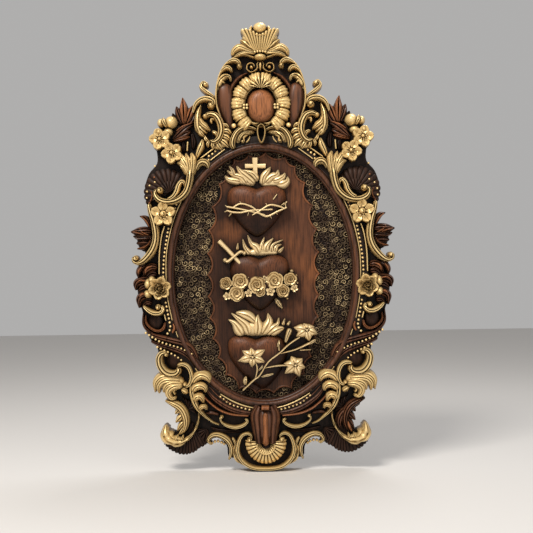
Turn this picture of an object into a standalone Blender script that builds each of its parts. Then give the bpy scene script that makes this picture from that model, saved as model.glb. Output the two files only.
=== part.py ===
"""A carved retablo to hang on a wall: an oval frame with a crest, and the oval panel of three hearts that it holds.

Metres, +Z up. The origin is the centre of the oval on the flat back, and the carved face looks to -Y.
The carving is drawn in units of HEIGHT / 600: u to the right and v up from the centre of the oval.
"""
import math

import bmesh
import bpy
from mathutils import Vector

# Driving dimensions, in metres
HEIGHT = 0.600  # top of the finial to the foot of the shell
GROUND = 0.014  # thickness of the frame's board behind its ornaments
BED = 0.022  # depth, from the back, of the oval bed that carries the moulding and the beads
RELIEF = 0.038  # depth, from the back, of the boldest carving
PANEL = 0.008  # thickness of the panel at its rim
FIELD = 0.0125  # depth, from the back, of the panel's smooth field
HEART = 0.027  # depth, from the back, of the hearts' crowns
REBATE = 0.006  # how far the frame's moulding laps over the panel
GAP = 0.0003  # clearance between the panel and its rebate, all round

UNIT = HEIGHT / 600
SIGHT = (119.5, 166.0)  # half axes of the oval opening, in drawing units
MOULDING = 11.0  # width of the plain moulding round the opening
BED_WIDTH = 21.0  # width of the oval bed
OVAL_SIDES = 56
FRAME_SHARE = 0.28  # share of the facets kept where the frame's ornaments run into each other
PANEL_SHARE = 0.28  # and where the panel's do

MAHOGANY = (0.09, 0.045, 0.03, 1.0)
FIELD_BROWN = (0.14, 0.07, 0.045, 1.0)


def depth_of(share, foot=GROUND, crown=RELIEF):
    """The depth of a share, 0 to 1, of the way from a foot to the crown of the carving."""
    return foot + share * (crown - foot)


def bottom(u, v, free=False):
    """The depth of an ornament's hidden underside. Each place has its own, so that no two lie in one plane."""
    return GROUND * (0.15 if free else 0.8) + 0.0004 * math.sin(12.9 * u + 7.3 * v)


def place(u, v, depth):
    """A point of the drawing at a depth from the back."""
    return Vector((u * UNIT, -depth, v * UNIT))


def mirrored(points):
    """The same points on the other side of the middle line."""
    return [(-p[0],) + tuple(p[1:]) for p in points]


def across(points):
    """A path that ends on the middle line, carried on to its mirror image's start."""
    return list(points) + mirrored(points)[-2::-1]


def oval(extra, sides=OVAL_SIDES):
    """An oval that lies outside the opening by a width in drawing units."""
    turns = [2 * math.pi * i / sides for i in range(sides)]
    return [((SIGHT[0] + extra) * math.cos(t), (SIGHT[1] + extra) * math.sin(t)) for t in turns]


# Ornaments, each one closed body added to a bmesh


def add_loft(bm, rings, closed=False):
    """A body through rings of points, each ring with as many, capped at its ends or closed on itself."""
    rows = [[bm.verts.new(place(*p)) for p in ring] for ring in rings]
    following = rows[1:] + rows[:1] if closed else rows[1:]
    for a, b in zip(rows, following):
        for i in range(len(a)):
            j = (i + 1) % len(a)
            bm.faces.new((a[i], a[j], b[j], b[i]))
    if not closed:
        bm.faces.new(rows[0][::-1])
        bm.faces.new(rows[-1])


def add_stroke(bm, points, top, foot=GROUND, closed=False, free=False):
    """A ridged band along points (u, v, width), widest where it stands highest.

    A free stroke hangs over the board's edge, so its sides go straight down to near the back. So do the sides of one
    that stands on other carving, down into the board.
    """
    widest = max(p[2] for p in points)
    base = bottom(points[0][0], points[0][1], free)
    straight = free or foot > GROUND
    rings = []
    for i, (u, v, width) in enumerate(points):
        before = points[i - 1] if i or closed else points[i]
        after = points[(i + 1) % len(points)] if i + 1 < len(points) or closed else points[i]
        along = Vector((after[0] - before[0], after[1] - before[1])).normalized()
        side = Vector((-along.y, along.x)) * width / 2
        ridge = foot + (top - foot) * (0.5 + 0.5 * width / widest)
        spread = 1.0 if straight else (ridge - base) / (ridge - foot)
        left = (u + side.x * spread, v + side.y * spread)
        right = (u - side.x * spread, v - side.y * spread)
        ring = [(*left, base), (u, v, ridge), (*right, base)]
        if straight:
            shoulder = foot + 0.3 * (ridge - foot)
            ring = [(*left, base), (*left, shoulder), (u, v, ridge), (*right, shoulder), (*right, base)]
        rings.append(ring)
    add_loft(bm, rings, closed)


def add_dome(bm, u, v, radius, top, foot=GROUND, tall=None, sides=6, free=False):
    """A round boss with a shoulder and a flat crown. A tall radius makes it an oval."""
    tall = radius if tall is None else tall
    base = bottom(u, v, free)
    shape = ((1.0, base), (1.0, foot + 0.35 * (top - foot)), (0.55, top))
    rings = []
    for share, depth in shape:
        turns = [2 * math.pi * (i + 0.5) / sides for i in range(sides)]
        rings.append([(u + radius * share * math.cos(t), v + tall * share * math.sin(t), depth) for t in turns])
    add_loft(bm, rings)


def add_bead(bm, u, v, radius, top, foot):
    """A four-sided bead."""
    rows = []
    for depth in (bottom(u, v), foot):
        corners = [(u + radius * x, v + radius * z, depth) for x, z in ((1, 0), (0, 1), (-1, 0), (0, -1))]
        rows.append([bm.verts.new(place(*p)) for p in corners])
    low, high = rows
    crown = bm.verts.new(place(u, v, top))
    bm.faces.new(low[::-1])
    for i in range(4):
        j = (i + 1) % 4
        bm.faces.new((low[i], low[j], high[j], high[i]))
        bm.faces.new((high[i], high[j], crown))


def add_fan(bm, hub, tips, top, foot=GROUND, hub_top=None, groove=0.86, free=False):
    """A fluted fan: a rib runs from the hub to each tip, with a groove between two ribs."""
    hub_top = top if hub_top is None else hub_top
    outline = [(*hub, hub_top)]
    for i, tip in enumerate(tips):
        outline.append((*tip, foot + 0.55 * (top - foot)))
        if i + 1 < len(tips):
            middle = Vector(tip).lerp(Vector(tips[i + 1]), 0.5)
            notch = Vector(hub).lerp(middle, groove)
            outline.append((*notch, foot + 0.15 * (top - foot)))
    base = bottom(*hub, free)
    low = [bm.verts.new(place(u, v, base)) for u, v, _ in outline]
    high = [bm.verts.new(place(*p)) for p in outline]
    bm.faces.new(low[::-1])
    for i in range(len(low)):
        j = (i + 1) % len(low)
        bm.faces.new((low[i], low[j], high[j], high[i]))
    for i in range(1, len(high) - 1):
        bm.faces.new((high[0], high[i], high[i + 1]))


def add_blossom(bm, u, v, radius, top, foot=GROUND, petals=5, turn=90, free=False):
    """An open flower: petals round a lower throat, with a bead in it."""
    base = bottom(u, v, free)
    rings = []
    for reach, notch, depth in ((1.0, 0.62, base), (1.0, 0.62, foot + 0.6 * (top - foot)), (0.62, 0.5, top)):
        ring = []
        for i in range(petals * 2):
            angle = math.radians(turn + 180 * i / petals)
            share = reach if i % 2 == 0 else notch
            ring.append((u + radius * share * math.cos(angle), v + radius * share * math.sin(angle), depth))
        rings.append(ring)
    low = [[bm.verts.new(place(*p)) for p in ring] for ring in rings]
    bm.faces.new(low[0][::-1])
    throat = bm.verts.new(place(u, v, foot + 0.55 * (top - foot)))
    count = petals * 2
    for i in range(count):
        j = (i + 1) % count
        bm.faces.new((low[0][i], low[0][j], low[1][j], low[1][i]))
        bm.faces.new((low[1][i], low[1][j], low[2][j], low[2][i]))
        bm.faces.new((low[2][i], low[2][j], throat))
    add_bead(bm, u, v, radius * 0.3, top, foot + 0.4 * (top - foot))


def along_path(points, pitch):
    """Places a pitch apart along a path of (u, v) points."""
    places = []
    left = 0.0
    for a, b in zip(points, points[1:]):
        run = Vector(b) - Vector(a)
        while left <= run.length:
            places.append(Vector(a) + run * (left / run.length))
            left += pitch
        left -= run.length
    return places


def add_bead_row(bm, points, top, foot, radius=1.9, pitch=5.4):
    """Beads along a path."""
    for spot in along_path(points, pitch):
        add_bead(bm, spot.x, spot.y, radius, top, foot)


def both(add, bm, points, *args, **kwargs):
    """An ornament on the right side and its mirror image on the left."""
    add(bm, points, *args, **kwargs)
    add(bm, mirrored(points), *args, **kwargs)


def both_at(add, bm, u, v, *args, **kwargs):
    """A round ornament on both sides."""
    for side in (1, -1):
        add(bm, side * u, v, *args, **kwargs)


def both_fan(bm, hub, tips, *args, **kwargs):
    """A fan on both sides."""
    for side in (1, -1):
        add_fan(bm, (side * hub[0], hub[1]), [(side * u, v) for u, v in tips], *args, **kwargs)


# The frame's carving, region by region, drawn on the right and mirrored


def carve_oval(bm):
    """The bed round the opening, with the gilt lines and the bead rows on it."""
    edge = oval(BED_WIDTH)
    add_loft(bm, [[(*p, GROUND * 0.6) for p in edge], [(*p, BED) for p in edge]])
    line = depth_of(0.22, BED)
    for path in (((108, 101), (118, 78), (124.5, 55), (129, 30), (129.8, 0), (128, -30), (122, -59)),
                 ((131, 68), (135.5, 53), (139, 30), (139.5, 2)),
                 ((82, 157), (63, 171)),
                 ((69, 154), (49, 169)),
                 ((60, -158), (45, -167), (30, -173.5), (15, -177.5))):
        both(add_stroke, bm, [(*p, 2.2) for p in path], line, BED)
    bead = depth_of(0.24, BED)
    for path in (((126, 66), (129, 48), (133, 20), (134, -2)),
                 ((131, -35), (127.5, -56), (126, -69), (131, -78)),
                 ((70, 159), (60, 168)),
                 ((60, -162), (46, -172), (18, -180.5))):
        both(add_bead_row, bm, path, bead, BED)


def add_opening(bm):
    """The hollow for the panel, cut right through the board. The moulding laps over it."""
    edge = oval(REBATE / UNIT)
    add_loft(bm, [[(*p, -GROUND) for p in edge], [(*p, 2 * RELIEF) for p in edge]])


def add_moulding(bm):
    """The plain moulding round the opening, from the panel's rebate to its own crown."""
    shelf = PANEL + GAP
    top = depth_of(0.45, BED)
    section = ((0.0, shelf), (MOULDING, shelf), (MOULDING, BED + 0.001), (MOULDING * 0.6, top),
               (MOULDING * 0.3, top), (0.0, BED - 0.003))
    rails = [oval(extra) for extra, _ in section]
    rings = [[(*rails[k][i], section[k][1]) for k in range(len(section))] for i in range(OVAL_SIDES)]
    add_loft(bm, rings, closed=True)


def carve_crest(bm):
    """The finial, the cartouche with its rim, the ring of shells and the boss."""
    add_dome(bm, 0, 328, 9.7, depth_of(1.0), sides=8)
    tips = ((37, 293), (36, 300), (29, 306), (26, 314), (26, 321), (26, 330), (15, 328), (6, 322))
    add_fan(bm, (0, 297), tips + tuple(mirrored(tips))[::-1], depth_of(0.65), free=True)
    add_dome(bm, 0, 291.5, 8, depth_of(0.85), tall=4.5, sides=8)
    rim = ((8, 291, 2.5), (23, 295, 3), (38, 289, 3.5), (49, 279, 4), (56, 264, 4), (59.5, 245, 4), (59, 228, 4),
           (54, 212, 3))
    both(add_stroke, bm, rim, depth_of(0.6), free=True)
    for curl in (((48, 282, 3), (41, 286.5, 6), (33, 287.5, 7.5), (27.5, 283, 7)),
                 ((54, 270, 3), (49, 276, 6), (43, 278, 7), (38.5, 273, 6)),
                 ((57, 249, 4), (53, 259, 7.5), (46, 266, 8.5), (39.5, 261, 4))):
        both(add_stroke, bm, curl, depth_of(0.7))
    both_at(add_dome, bm, 27.5, 280, 4, depth_of(0.75))
    lobe = ((54, 256, 4), (53, 246, 11), (51.5, 232, 13), (48.5, 218, 11), (42, 204, 5))
    both(add_stroke, bm, lobe, depth_of(0.5))
    ring = []
    for i in range(25):
        angle = math.radians(-52 + 284 * i / 24)
        spot = (28.5 * math.cos(angle), 227 + 32 * math.sin(angle))
        ring.append((*spot, 20 if i % 2 else 15))
    add_stroke(bm, ring, depth_of(0.9))
    add_dome(bm, 0, 224, 15.5, depth_of(0.95), tall=21, sides=12)
    both_at(add_bead, bm, 18.3, 224, 2.5, depth_of(0.9), depth_of(0.3))
    both_at(add_dome, bm, 36.5, 199.5, 3, depth_of(0.8))


def carve_shoulders(bm):
    """The scrolls and leaves beside the crest, and the arches under it."""
    both(add_stroke, bm, ((58, 236, 4), (68, 243, 6), (76, 249, 6), (80.5, 255, 5), (75, 260, 4), (72, 255, 3)),
         depth_of(0.55), free=True)
    both(add_stroke, bm, ((92, 219, 3), (87, 229, 5), (80, 235, 6), (71, 237, 7), (63.5, 233, 6), (63, 227, 5)),
         depth_of(0.8), free=True)
    both_at(add_dome, bm, 66.5, 227.5, 5, depth_of(0.9))
    both(add_stroke, bm, ((80, 230, 3), (84, 218, 9), (83, 205, 13), (79, 194, 14), (76, 185, 5)), depth_of(0.75))
    both(add_stroke, bm, ((82, 202, 6), (76, 198, 6), (69, 195, 2)), depth_of(0.75))
    both(add_stroke, bm, ((75, 213, 5), (68, 216, 6), (59, 213, 7.5), (53, 204, 8.5), (52, 193, 8.5), (56, 183, 8),
                          (64, 178.5, 6), (70, 183, 4)), depth_of(0.85))
    both_at(add_dome, bm, 74.5, 213, 3.6, depth_of(0.85))
    both(add_stroke, bm, ((58, 184, 3), (60, 190, 5), (66, 193, 4)), depth_of(0.6))
    both(add_stroke, bm, ((62, 208, 3), (67, 208, 4), (67, 203, 3)), depth_of(0.6))
    both(add_stroke, bm, ((87, 157, 4), (83, 166, 7.5), (79.5, 175, 7.5), (79, 181, 4)), depth_of(0.7))
    both(add_stroke, bm, ((99, 167, 2.6), (98.5, 180, 2.6)), depth_of(0.45))
    for u, v, radius in ((45, 190, 5), (46, 181, 5.5), (50, 173.5, 6), (63, 175, 4.5)):
        both_at(add_dome, bm, u, v, radius, depth_of(0.6))
    both(add_stroke, bm, ((5, 193, 3), (13, 197, 5), (22, 197, 6), (30, 192.5, 7), (36, 184, 8), (38.5, 175, 9),
                          (37, 168.5, 6)), depth_of(0.85))
    both(add_stroke, bm, ((11, 189.5, 2), (20, 191, 4), (28, 184, 5.5), (30, 177.5, 4)), depth_of(0.7))
    both(add_stroke, bm, ((18, 187.5, 2), (23, 184, 4), (22, 178, 3)), depth_of(0.6))
    loop = [(4.8 * math.sin(t) * (1 - 0.25 * math.cos(t)), 188.5 - 12 * math.cos(t), 2.6)
            for t in [2 * math.pi * i / 8 for i in range(8)]]
    add_stroke(bm, loop, depth_of(1.0), closed=True)


def carve_flowers(bm):
    """The flowers and leaves on the upper corners, the plumes and the fluted lobes below them."""
    both_fan(bm, (103, 200), ((88, 222), (97, 228), (105, 237), (111, 227), (118, 216)), depth_of(0.45), free=True)
    both(add_stroke, bm, ((121, 183, 5), (110, 190, 14), (99, 198, 12), (90, 204, 4)), depth_of(0.4))
    both(add_stroke, bm, ((117, 181, 4), (106, 184, 8), (95, 186, 3)), depth_of(0.35))
    both_at(add_dome, bm, 120, 206.5, 9, depth_of(0.75), sides=8, free=True)
    both_at(add_dome, bm, 132.5, 207, 5.5, depth_of(0.6), free=True)
    both_at(add_blossom, bm, 135, 184.5, 15.5, depth_of(0.75), turn=-5, free=True)
    both_at(add_blossom, bm, 120, 164.5, 13.5, depth_of(0.8), turn=20)
    for plume in (((118, 153, 3), (109, 150, 6), (101, 143, 8)),
                  ((110, 166, 3), (104, 158, 7), (97, 148, 9)),
                  ((101, 165, 4), (98, 156, 8), (94, 146, 9)),
                  ((93, 164, 4), (91.5, 154, 7), (91, 144, 6))):
        both(add_stroke, bm, plume, depth_of(0.8))
    both(add_stroke, bm, ((94.5, 150, 13), (94.5, 138, 13), (96, 126, 10.5), (101, 112, 9), (109, 103.5, 8.5),
                          (119, 99, 9), (130, 98.5, 9.5), (139, 102.5, 9), (143.5, 110, 7.5), (141, 117, 6)),
         depth_of(0.95))
    both(add_stroke, bm, ((104, 126, 5), (110, 123, 6.5), (112.5, 114, 7), (117, 105, 6)), depth_of(0.8))
    both_at(add_dome, bm, 136.5, 115.5, 5, depth_of(0.95))
    both(add_stroke, bm, ((88, 142, 4), (84, 149, 7), (78, 152.5, 8), (72, 149, 7), (71, 142, 3)), depth_of(0.85))
    tips = [(128 + 31 * math.cos(math.radians(a)), 112 + 33 * math.sin(math.radians(a))) for a in range(-25, 156, 20)]
    both_fan(bm, (124, 111), tips, depth_of(0.35), groove=0.92)


def carve_sides(bm):
    """The flower, the long scroll, the leaves, the rose and the loops half way down."""
    both_at(add_blossom, bm, 132, 84, 13, depth_of(0.9))
    both(add_stroke, bm, ((152, 98, 6), (150, 87, 8), (146, 75, 9.5), (143, 62, 10), (142.5, 50, 10), (145, 39, 10.5),
                          (151, 29, 10.5), (159, 21.5, 9), (167, 18.5, 7), (174, 21, 5), (174.5, 27, 4)),
         depth_of(0.8), free=True)
    both_at(add_dome, bm, 170.5, 24.5, 4, depth_of(0.7), free=True)
    both(add_stroke, bm, ((164, 80, 2), (157, 75, 4), (150, 66, 4)), depth_of(0.35), free=True)
    both_fan(bm, (147, 55), ((156, 67), (168, 64), (177, 60), (173, 53), (164, 48)), depth_of(0.4), free=True)
    both_fan(bm, (146, 44), ((162, 47), (170, 44), (171, 38), (158, 34)), depth_of(0.3), free=True)
    both_fan(bm, (142, 8), ((150, 16), (160, 13), (169, 9), (170, 0), (158, -2)), depth_of(0.35), free=True)
    both_fan(bm, (148, -14), ((160, -2), (174, -2), (172, -13), (168, -18)), depth_of(0.35), free=True)
    both_fan(bm, (150, -28), ((160, -19), (170, -23), (170, -36), (165, -44), (158, -38)), depth_of(0.35), free=True)
    both_at(add_blossom, bm, 142, -18, 17, depth_of(0.65), petals=6, turn=93)
    both_at(add_dome, bm, 139, -18.5, 9, depth_of(1.0), sides=7)
    both_at(add_dome, bm, 147, -32, 6.5, depth_of(0.6), tall=4)
    both(add_stroke, bm, ((161, -38.5, 3), (155, -44, 6.5), (147.5, -48.5, 7.5), (139, -49, 7), (134, -44, 5),
                          (137, -38.5, 4)), depth_of(0.85))
    both_at(add_dome, bm, 141, -41, 4.2, depth_of(0.85))
    both(add_stroke, bm, ((158, -51, 3), (157.5, -61, 4.5), (151, -69, 5.5), (141.5, -72, 5.5), (134.5, -67, 4.5),
                          (132, -60, 3)), depth_of(0.5))
    both(add_stroke, bm, ((162.5, -48, 3), (163, -62, 4), (158, -71, 4), (149, -77, 3)), depth_of(0.35), free=True)
    both(add_stroke, bm, ((121.5, -63, 2), (119.5, -70, 4.5), (124, -77, 3)), depth_of(0.35, BED), BED)
    for path in (((135, -50), (132, -59)), ((118, -73), (115, -82)), ((93, -123), (89, -128))):
        both(add_stroke, bm, [(*p, 2.2) for p in path], depth_of(0.25, BED), BED)


def carve_straps(bm):
    """The crossing straps with their beads, and the paired scrolls and acanthus under them."""
    both(add_stroke, bm, ((153.5, -77, 5), (140, -82, 8), (122, -87, 9), (108, -91, 9), (97, -99, 6)), depth_of(0.5),
         free=True)
    both(add_stroke, bm, ((152, -86, 5), (138, -92, 7), (122, -97.5, 8), (108, -103, 8), (98, -114, 5)),
         depth_of(0.45), free=True)
    bead = depth_of(0.55)
    for path in (((152, -79), (141, -85.5), (131, -89.5), (112, -95), (101, -100)),
                 ((143, -94), (133, -99), (119, -106), (108, -114.5))):
        both(add_bead_row, bm, path, bead, depth_of(0.3), pitch=5.2)
    both(add_stroke, bm, ((130, -101, 4), (138, -103, 8), (141.5, -110, 9), (140, -119, 9.5), (134.5, -127, 9.5),
                          (127, -131.5, 9), (118.5, -131, 8), (115.5, -125, 7), (118, -120, 3)), depth_of(0.8),
         free=True)
    both_at(add_dome, bm, 131.5, -104.5, 3, depth_of(0.75))
    both(add_stroke, bm, ((116, -120, 4), (109.5, -117.5, 5), (102.5, -121, 5), (98.5, -129.5, 5), (98, -138, 5),
                          (101, -146, 4.5), (107.5, -147.5, 5)), depth_of(0.7))
    for leaf in (((112, -141, 5), (126, -138, 9), (138, -134.5, 8), (145, -142, 7), (146.5, -154, 3)),
                 ((112, -144, 5), (126, -143, 9), (136, -144, 8), (139.5, -155.5, 3)),
                 ((110, -147, 5), (120, -146, 9), (128.5, -151, 8.5), (128, -160, 8), (119, -162.5, 6))):
        both(add_stroke, bm, leaf, depth_of(0.75), free=True)
    both(add_stroke, bm, ((114, -150, 4), (107, -151.5, 7), (103, -157.5, 4)), depth_of(0.65))


def carve_feet(bm):
    """The leaves and fluted feet at the lower corners, and the leafy stem inside them."""
    both(add_stroke, bm, ((133, -167, 4), (125, -170.5, 9), (117, -175, 12), (112, -183, 15), (111, -194, 15),
                          (112, -204, 11), (117, -214, 3)), depth_of(0.7), free=True)
    both(add_stroke, bm, ((89, -180, 2), (89.5, -192, 3), (95, -206, 3), (104, -217, 4), (113, -222, 9),
                          (123, -222, 12), (132, -217, 14), (136, -208, 12), (133, -197, 3)), depth_of(0.75),
         free=True)
    tips = ((80, -226), (89, -230), (97, -236), (106, -239), (116, -238.5), (126, -234), (134, -228), (139, -221))
    both_fan(bm, (105, -196), tips, depth_of(0.3), groove=0.95, free=True)
    both(add_stroke, bm, ((97, -140, 5), (98, -151, 7), (96.5, -162, 8), (92.5, -173, 7.5), (86, -183, 5),
                          (75, -192, 3), (62, -199, 2.5)), depth_of(0.6))
    for curl in (((97, -141, 6), (91.5, -134, 8.5), (83.5, -131.5, 9), (75.5, -135, 8), (73, -142.5, 4)),
                 ((97, -153, 6), (91.5, -146, 8), (85, -145, 8), (79.5, -150, 6), (80, -155, 2)),
                 ((95, -167, 5), (91.5, -160.5, 7), (86.5, -160.5, 7), (83.5, -167, 3)),
                 ((89, -178, 4), (84.5, -174, 5), (78.5, -178, 3))):
        both(add_stroke, bm, curl, depth_of(0.85))
    both(add_stroke, bm, ((60, -188, 4), (59, -195, 3.5), (51, -201, 4.5), (39, -203.5, 5.5), (28.5, -200.5, 5),
                          (23.5, -194.5, 4.5), (27.5, -191.5, 4)), depth_of(0.6))
    both(add_stroke, bm, ((85, -156, 3), (77, -167, 3), (62, -179, 3.5), (45, -185, 3.5), (22, -188, 3)),
         depth_of(0.35, BED), BED)


def carve_foot_shell(bm):
    """The keystone, the small arches and the shell at the bottom."""
    both(add_stroke, bm, ((71, -226.5, 4), (77, -222, 5), (74, -216, 5.5), (66, -213.5, 6.5), (57, -216.5, 7.5),
                          (49.5, -223.5, 7.5), (46, -232, 7), (47, -242, 6), (50, -248, 3)), depth_of(0.5),
         free=True)
    add_fan(bm, (0, -186), ((-14, -180), (-15, -194), (-13, -206), (-14.5, -218), (-9, -225), (0, -229), (9, -225),
                            (14.5, -218), (13, -206), (15, -194), (14, -180), (10, -171), (-10, -171)),
            depth_of(0.75), hub_top=depth_of(0.8), groove=0.94)
    add_stroke(bm, ((0, -183, 7), (0, -198, 6), (0, -213, 8), (0, -229, 8)), depth_of(0.95))
    add_dome(bm, 0, -176.5, 6.5, depth_of(0.95), tall=5.5, sides=4)
    tips = [(29 * math.cos(math.radians(a)), -223 + 31 * math.sin(math.radians(a))) for a in range(180, 361, 15)]
    add_fan(bm, (0, -224), tips, depth_of(0.65), hub_top=depth_of(0.2), groove=0.97)
    rim = ((18, -218, 3.5), (20, -213.5, 4), (28, -213.5, 4.5), (34, -222, 4.5), (35, -234, 5), (28.5, -247, 5.5),
           (16, -256.5, 6), (0, -259, 6))
    add_stroke(bm, across(rim), depth_of(0.7), free=True)
    both_at(add_dome, bm, 22, -219, 4, depth_of(0.75))
    both(add_stroke, bm, ((37, -221, 4), (41.5, -231, 9), (41, -241, 9), (34, -251, 5)), depth_of(0.45), free=True)


# The board behind the carving, from the top of the finial to the foot of the shell
SILHOUETTE = ((0, 333), (12, 325), (24, 326), (24, 309), (34, 298), (46, 283), (55, 266), (58, 250), (60, 238),
              (76, 236), (89, 226), (100, 224), (114, 212), (130, 208), (137, 196), (145, 184), (141, 168), (141, 152),
              (152, 138), (158, 117), (155, 96), (149, 82), (151, 66), (165, 58), (164, 42), (158, 31), (166, 19),
              (167, 4), (170, -10), (168, -32), (163, -48), (163, -63), (154, -83), (144, -96), (142, -120),
              (137, -131), (144, -146), (130, -157), (124, -174), (116, -186), (116, -208), (132, -206), (138, -218),
              (122, -234), (104, -236), (85, -226), (66, -218), (53, -228), (50, -244), (36, -246), (22, -257),
              (0, -260))


def flat_outline(name, outlines, depth):
    """A closed board from the back to a depth, from flat outlines, the inner ones as holes."""
    curve = bpy.data.curves.new(name, "CURVE")
    curve.dimensions = "2D"
    curve.fill_mode = "BOTH"
    curve.extrude = depth / 2
    for outline in outlines:
        spline = curve.splines.new("POLY")
        spline.points.add(len(outline) - 1)
        spline.use_cyclic_u = True
        for point, (u, v) in zip(spline.points, outline):
            point.co = (u * UNIT, v * UNIT, 0.0, 1.0)
    drawn = bpy.data.objects.new(name, curve)
    bpy.context.scene.collection.objects.link(drawn)
    drawn.rotation_euler.x = math.radians(90)
    drawn.location.y = -depth / 2
    bpy.context.view_layer.update()
    mesh = bpy.data.meshes.new_from_object(drawn.evaluated_get(bpy.context.evaluated_depsgraph_get()))
    mesh.transform(drawn.matrix_world)
    bpy.data.objects.remove(drawn)
    bm = bmesh.new()
    bm.from_mesh(mesh)
    bmesh.ops.remove_doubles(bm, verts=bm.verts, dist=0.00001)
    bmesh.ops.recalc_face_normals(bm, faces=bm.faces)
    bm.to_mesh(mesh)
    bm.free()
    return mesh


def carving_mesh(name, carve):
    """One mesh with every ornament that the carve functions add."""
    bm = bmesh.new()
    for add in carve:
        add(bm)
    bm.normal_update()
    bmesh.ops.triangulate(bm, faces=bm.faces)
    bmesh.ops.recalc_face_normals(bm, faces=bm.faces)
    mesh = bpy.data.meshes.new(name)
    bm.to_mesh(mesh)
    bm.free()
    return mesh


def material(name, colour, roughness):
    """A plain wood finish."""
    made = bpy.data.materials.new(name)
    made.use_nodes = True
    shader = made.node_tree.nodes["Principled BSDF"]
    shader.inputs["Base Color"].default_value = colour
    shader.inputs["Roughness"].default_value = roughness
    return made


def piece(name, mesh, finish, parts):
    """A named piece of the object."""
    made = bpy.data.objects.new(name, mesh)
    made.data.materials.append(finish)
    parts.objects.link(made)
    return made


def combine(made, operation, name, add, tools, solver="EXACT"):
    """Joins what the add functions make to a piece, or cuts it away, as one body.

    The exact solver also joins the added bodies to each other. After thinning out, the manifold one keeps them closed.
    """
    guide = bpy.data.objects.new(name, carving_mesh(name, add))
    guide.hide_render = True
    guide.display_type = "WIRE"
    tools.objects.link(guide)
    boolean = made.modifiers.new(name, "BOOLEAN")
    boolean.operation = operation
    boolean.solver = solver
    boolean.use_self = solver == "EXACT"
    boolean.object = guide


def thin_out(made, share):
    """Drops the smallest facets, down to a share of them."""
    fewer = made.modifiers.new("fewer", "DECIMATE")
    fewer.ratio = share


def scalloped(cusps, hollow=0.22, steps=4):
    """An outline through cusps with a hollow arc between each two."""
    outline = []
    for a, b in zip(cusps, cusps[1:] + cusps[:1]):
        a = Vector(a)
        b = Vector(b)
        run = b - a
        inward = Vector((-run.y, run.x)) * hollow
        for i in range(steps):
            t = i / steps
            outline.append(tuple(a + run * t + inward * 4 * t * (1 - t)))
    return outline


def field_outline():
    """The smooth field: cusps on a rounded oval, hollow arcs between them."""
    heights = (146, 124, 93, 61, 30, 1, -28, -57, -85, -111, -134)
    half_width, half_height, squareness = 76.0, 167.0, 2.5
    right = [(half_width * (1 - (abs(v) / half_height) ** squareness) ** (1 / squareness), v) for v in heights]
    top = [(-18, 163), (5, 166), (33, 160)]
    bottom = [(36, -154), (12, -160), (-12, -160), (-36, -154)]
    cusps = top + right + bottom + mirrored(right)[::-1] + [(-38, 157)]
    return scalloped(cusps[::-1])


# The panel's carving


def add_panel_board(bm):
    """The oval board, which slips into the frame's rebate from behind."""
    edge = oval((REBATE - GAP) / UNIT)
    add_loft(bm, [[(*p, 0.0) for p in edge], [(*p, PANEL) for p in edge]])


HEART_HALF = ((0.0, 0.0), (0.18, 0.03), (0.4, 0.14), (0.62, 0.27), (0.82, 0.43), (0.96, 0.58), (1.0, 0.73),
              (0.93, 0.88), (0.72, 0.98), (0.42, 1.0), (0.15, 0.93), (0.0, 0.88))


def add_heart(bm, middle, half_width, low, high, skew=0.0):
    """A swelling heart, between a low and a high level, its tip moved sideways by a skew."""
    half = [(x, z) for x, z in HEART_HALF]
    outline = half + mirrored(half)[-2:0:-1]
    centre = 0.6
    rings = []
    for share, depth in ((1.0, FIELD * 0.7), (1.0, depth_of(0.3, FIELD, HEART)), (0.88, depth_of(0.75, FIELD, HEART)),
                         (0.5, HEART)):
        ring = []
        for x, z in outline:
            height = centre + (z - centre) * share
            u = middle + x * share * half_width + skew * (1 - height)
            ring.append((u, low + height * (high - low), depth))
        rings.append(ring)
    add_loft(bm, rings)


def add_tongues(bm, tongues, level=0.8):
    """Flames: each tongue is a stroke from its root to its tip."""
    for tongue in tongues:
        add_stroke(bm, tongue, depth_of(level, FIELD, HEART), FIELD)


def add_bar(bm, start, end, width, level):
    """A straight flat bar."""
    run = (Vector(end) - Vector(start)).normalized()
    side = Vector((-run.y, run.x)) * width / 2
    top = depth_of(level, FIELD, HEART)
    rings = []
    for spot in (Vector(start), Vector(end)):
        left = tuple(spot + side)
        right = tuple(spot - side)
        rings.append([(*left, FIELD * 0.6), (*left, top), (*right, top), (*right, FIELD * 0.6)])
    add_loft(bm, rings)


def carve_field(bm):
    """The raised smooth field."""
    outline = field_outline()
    add_loft(bm, [[(*p, PANEL * 0.5) for p in outline], [(*p, FIELD) for p in outline]])


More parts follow.
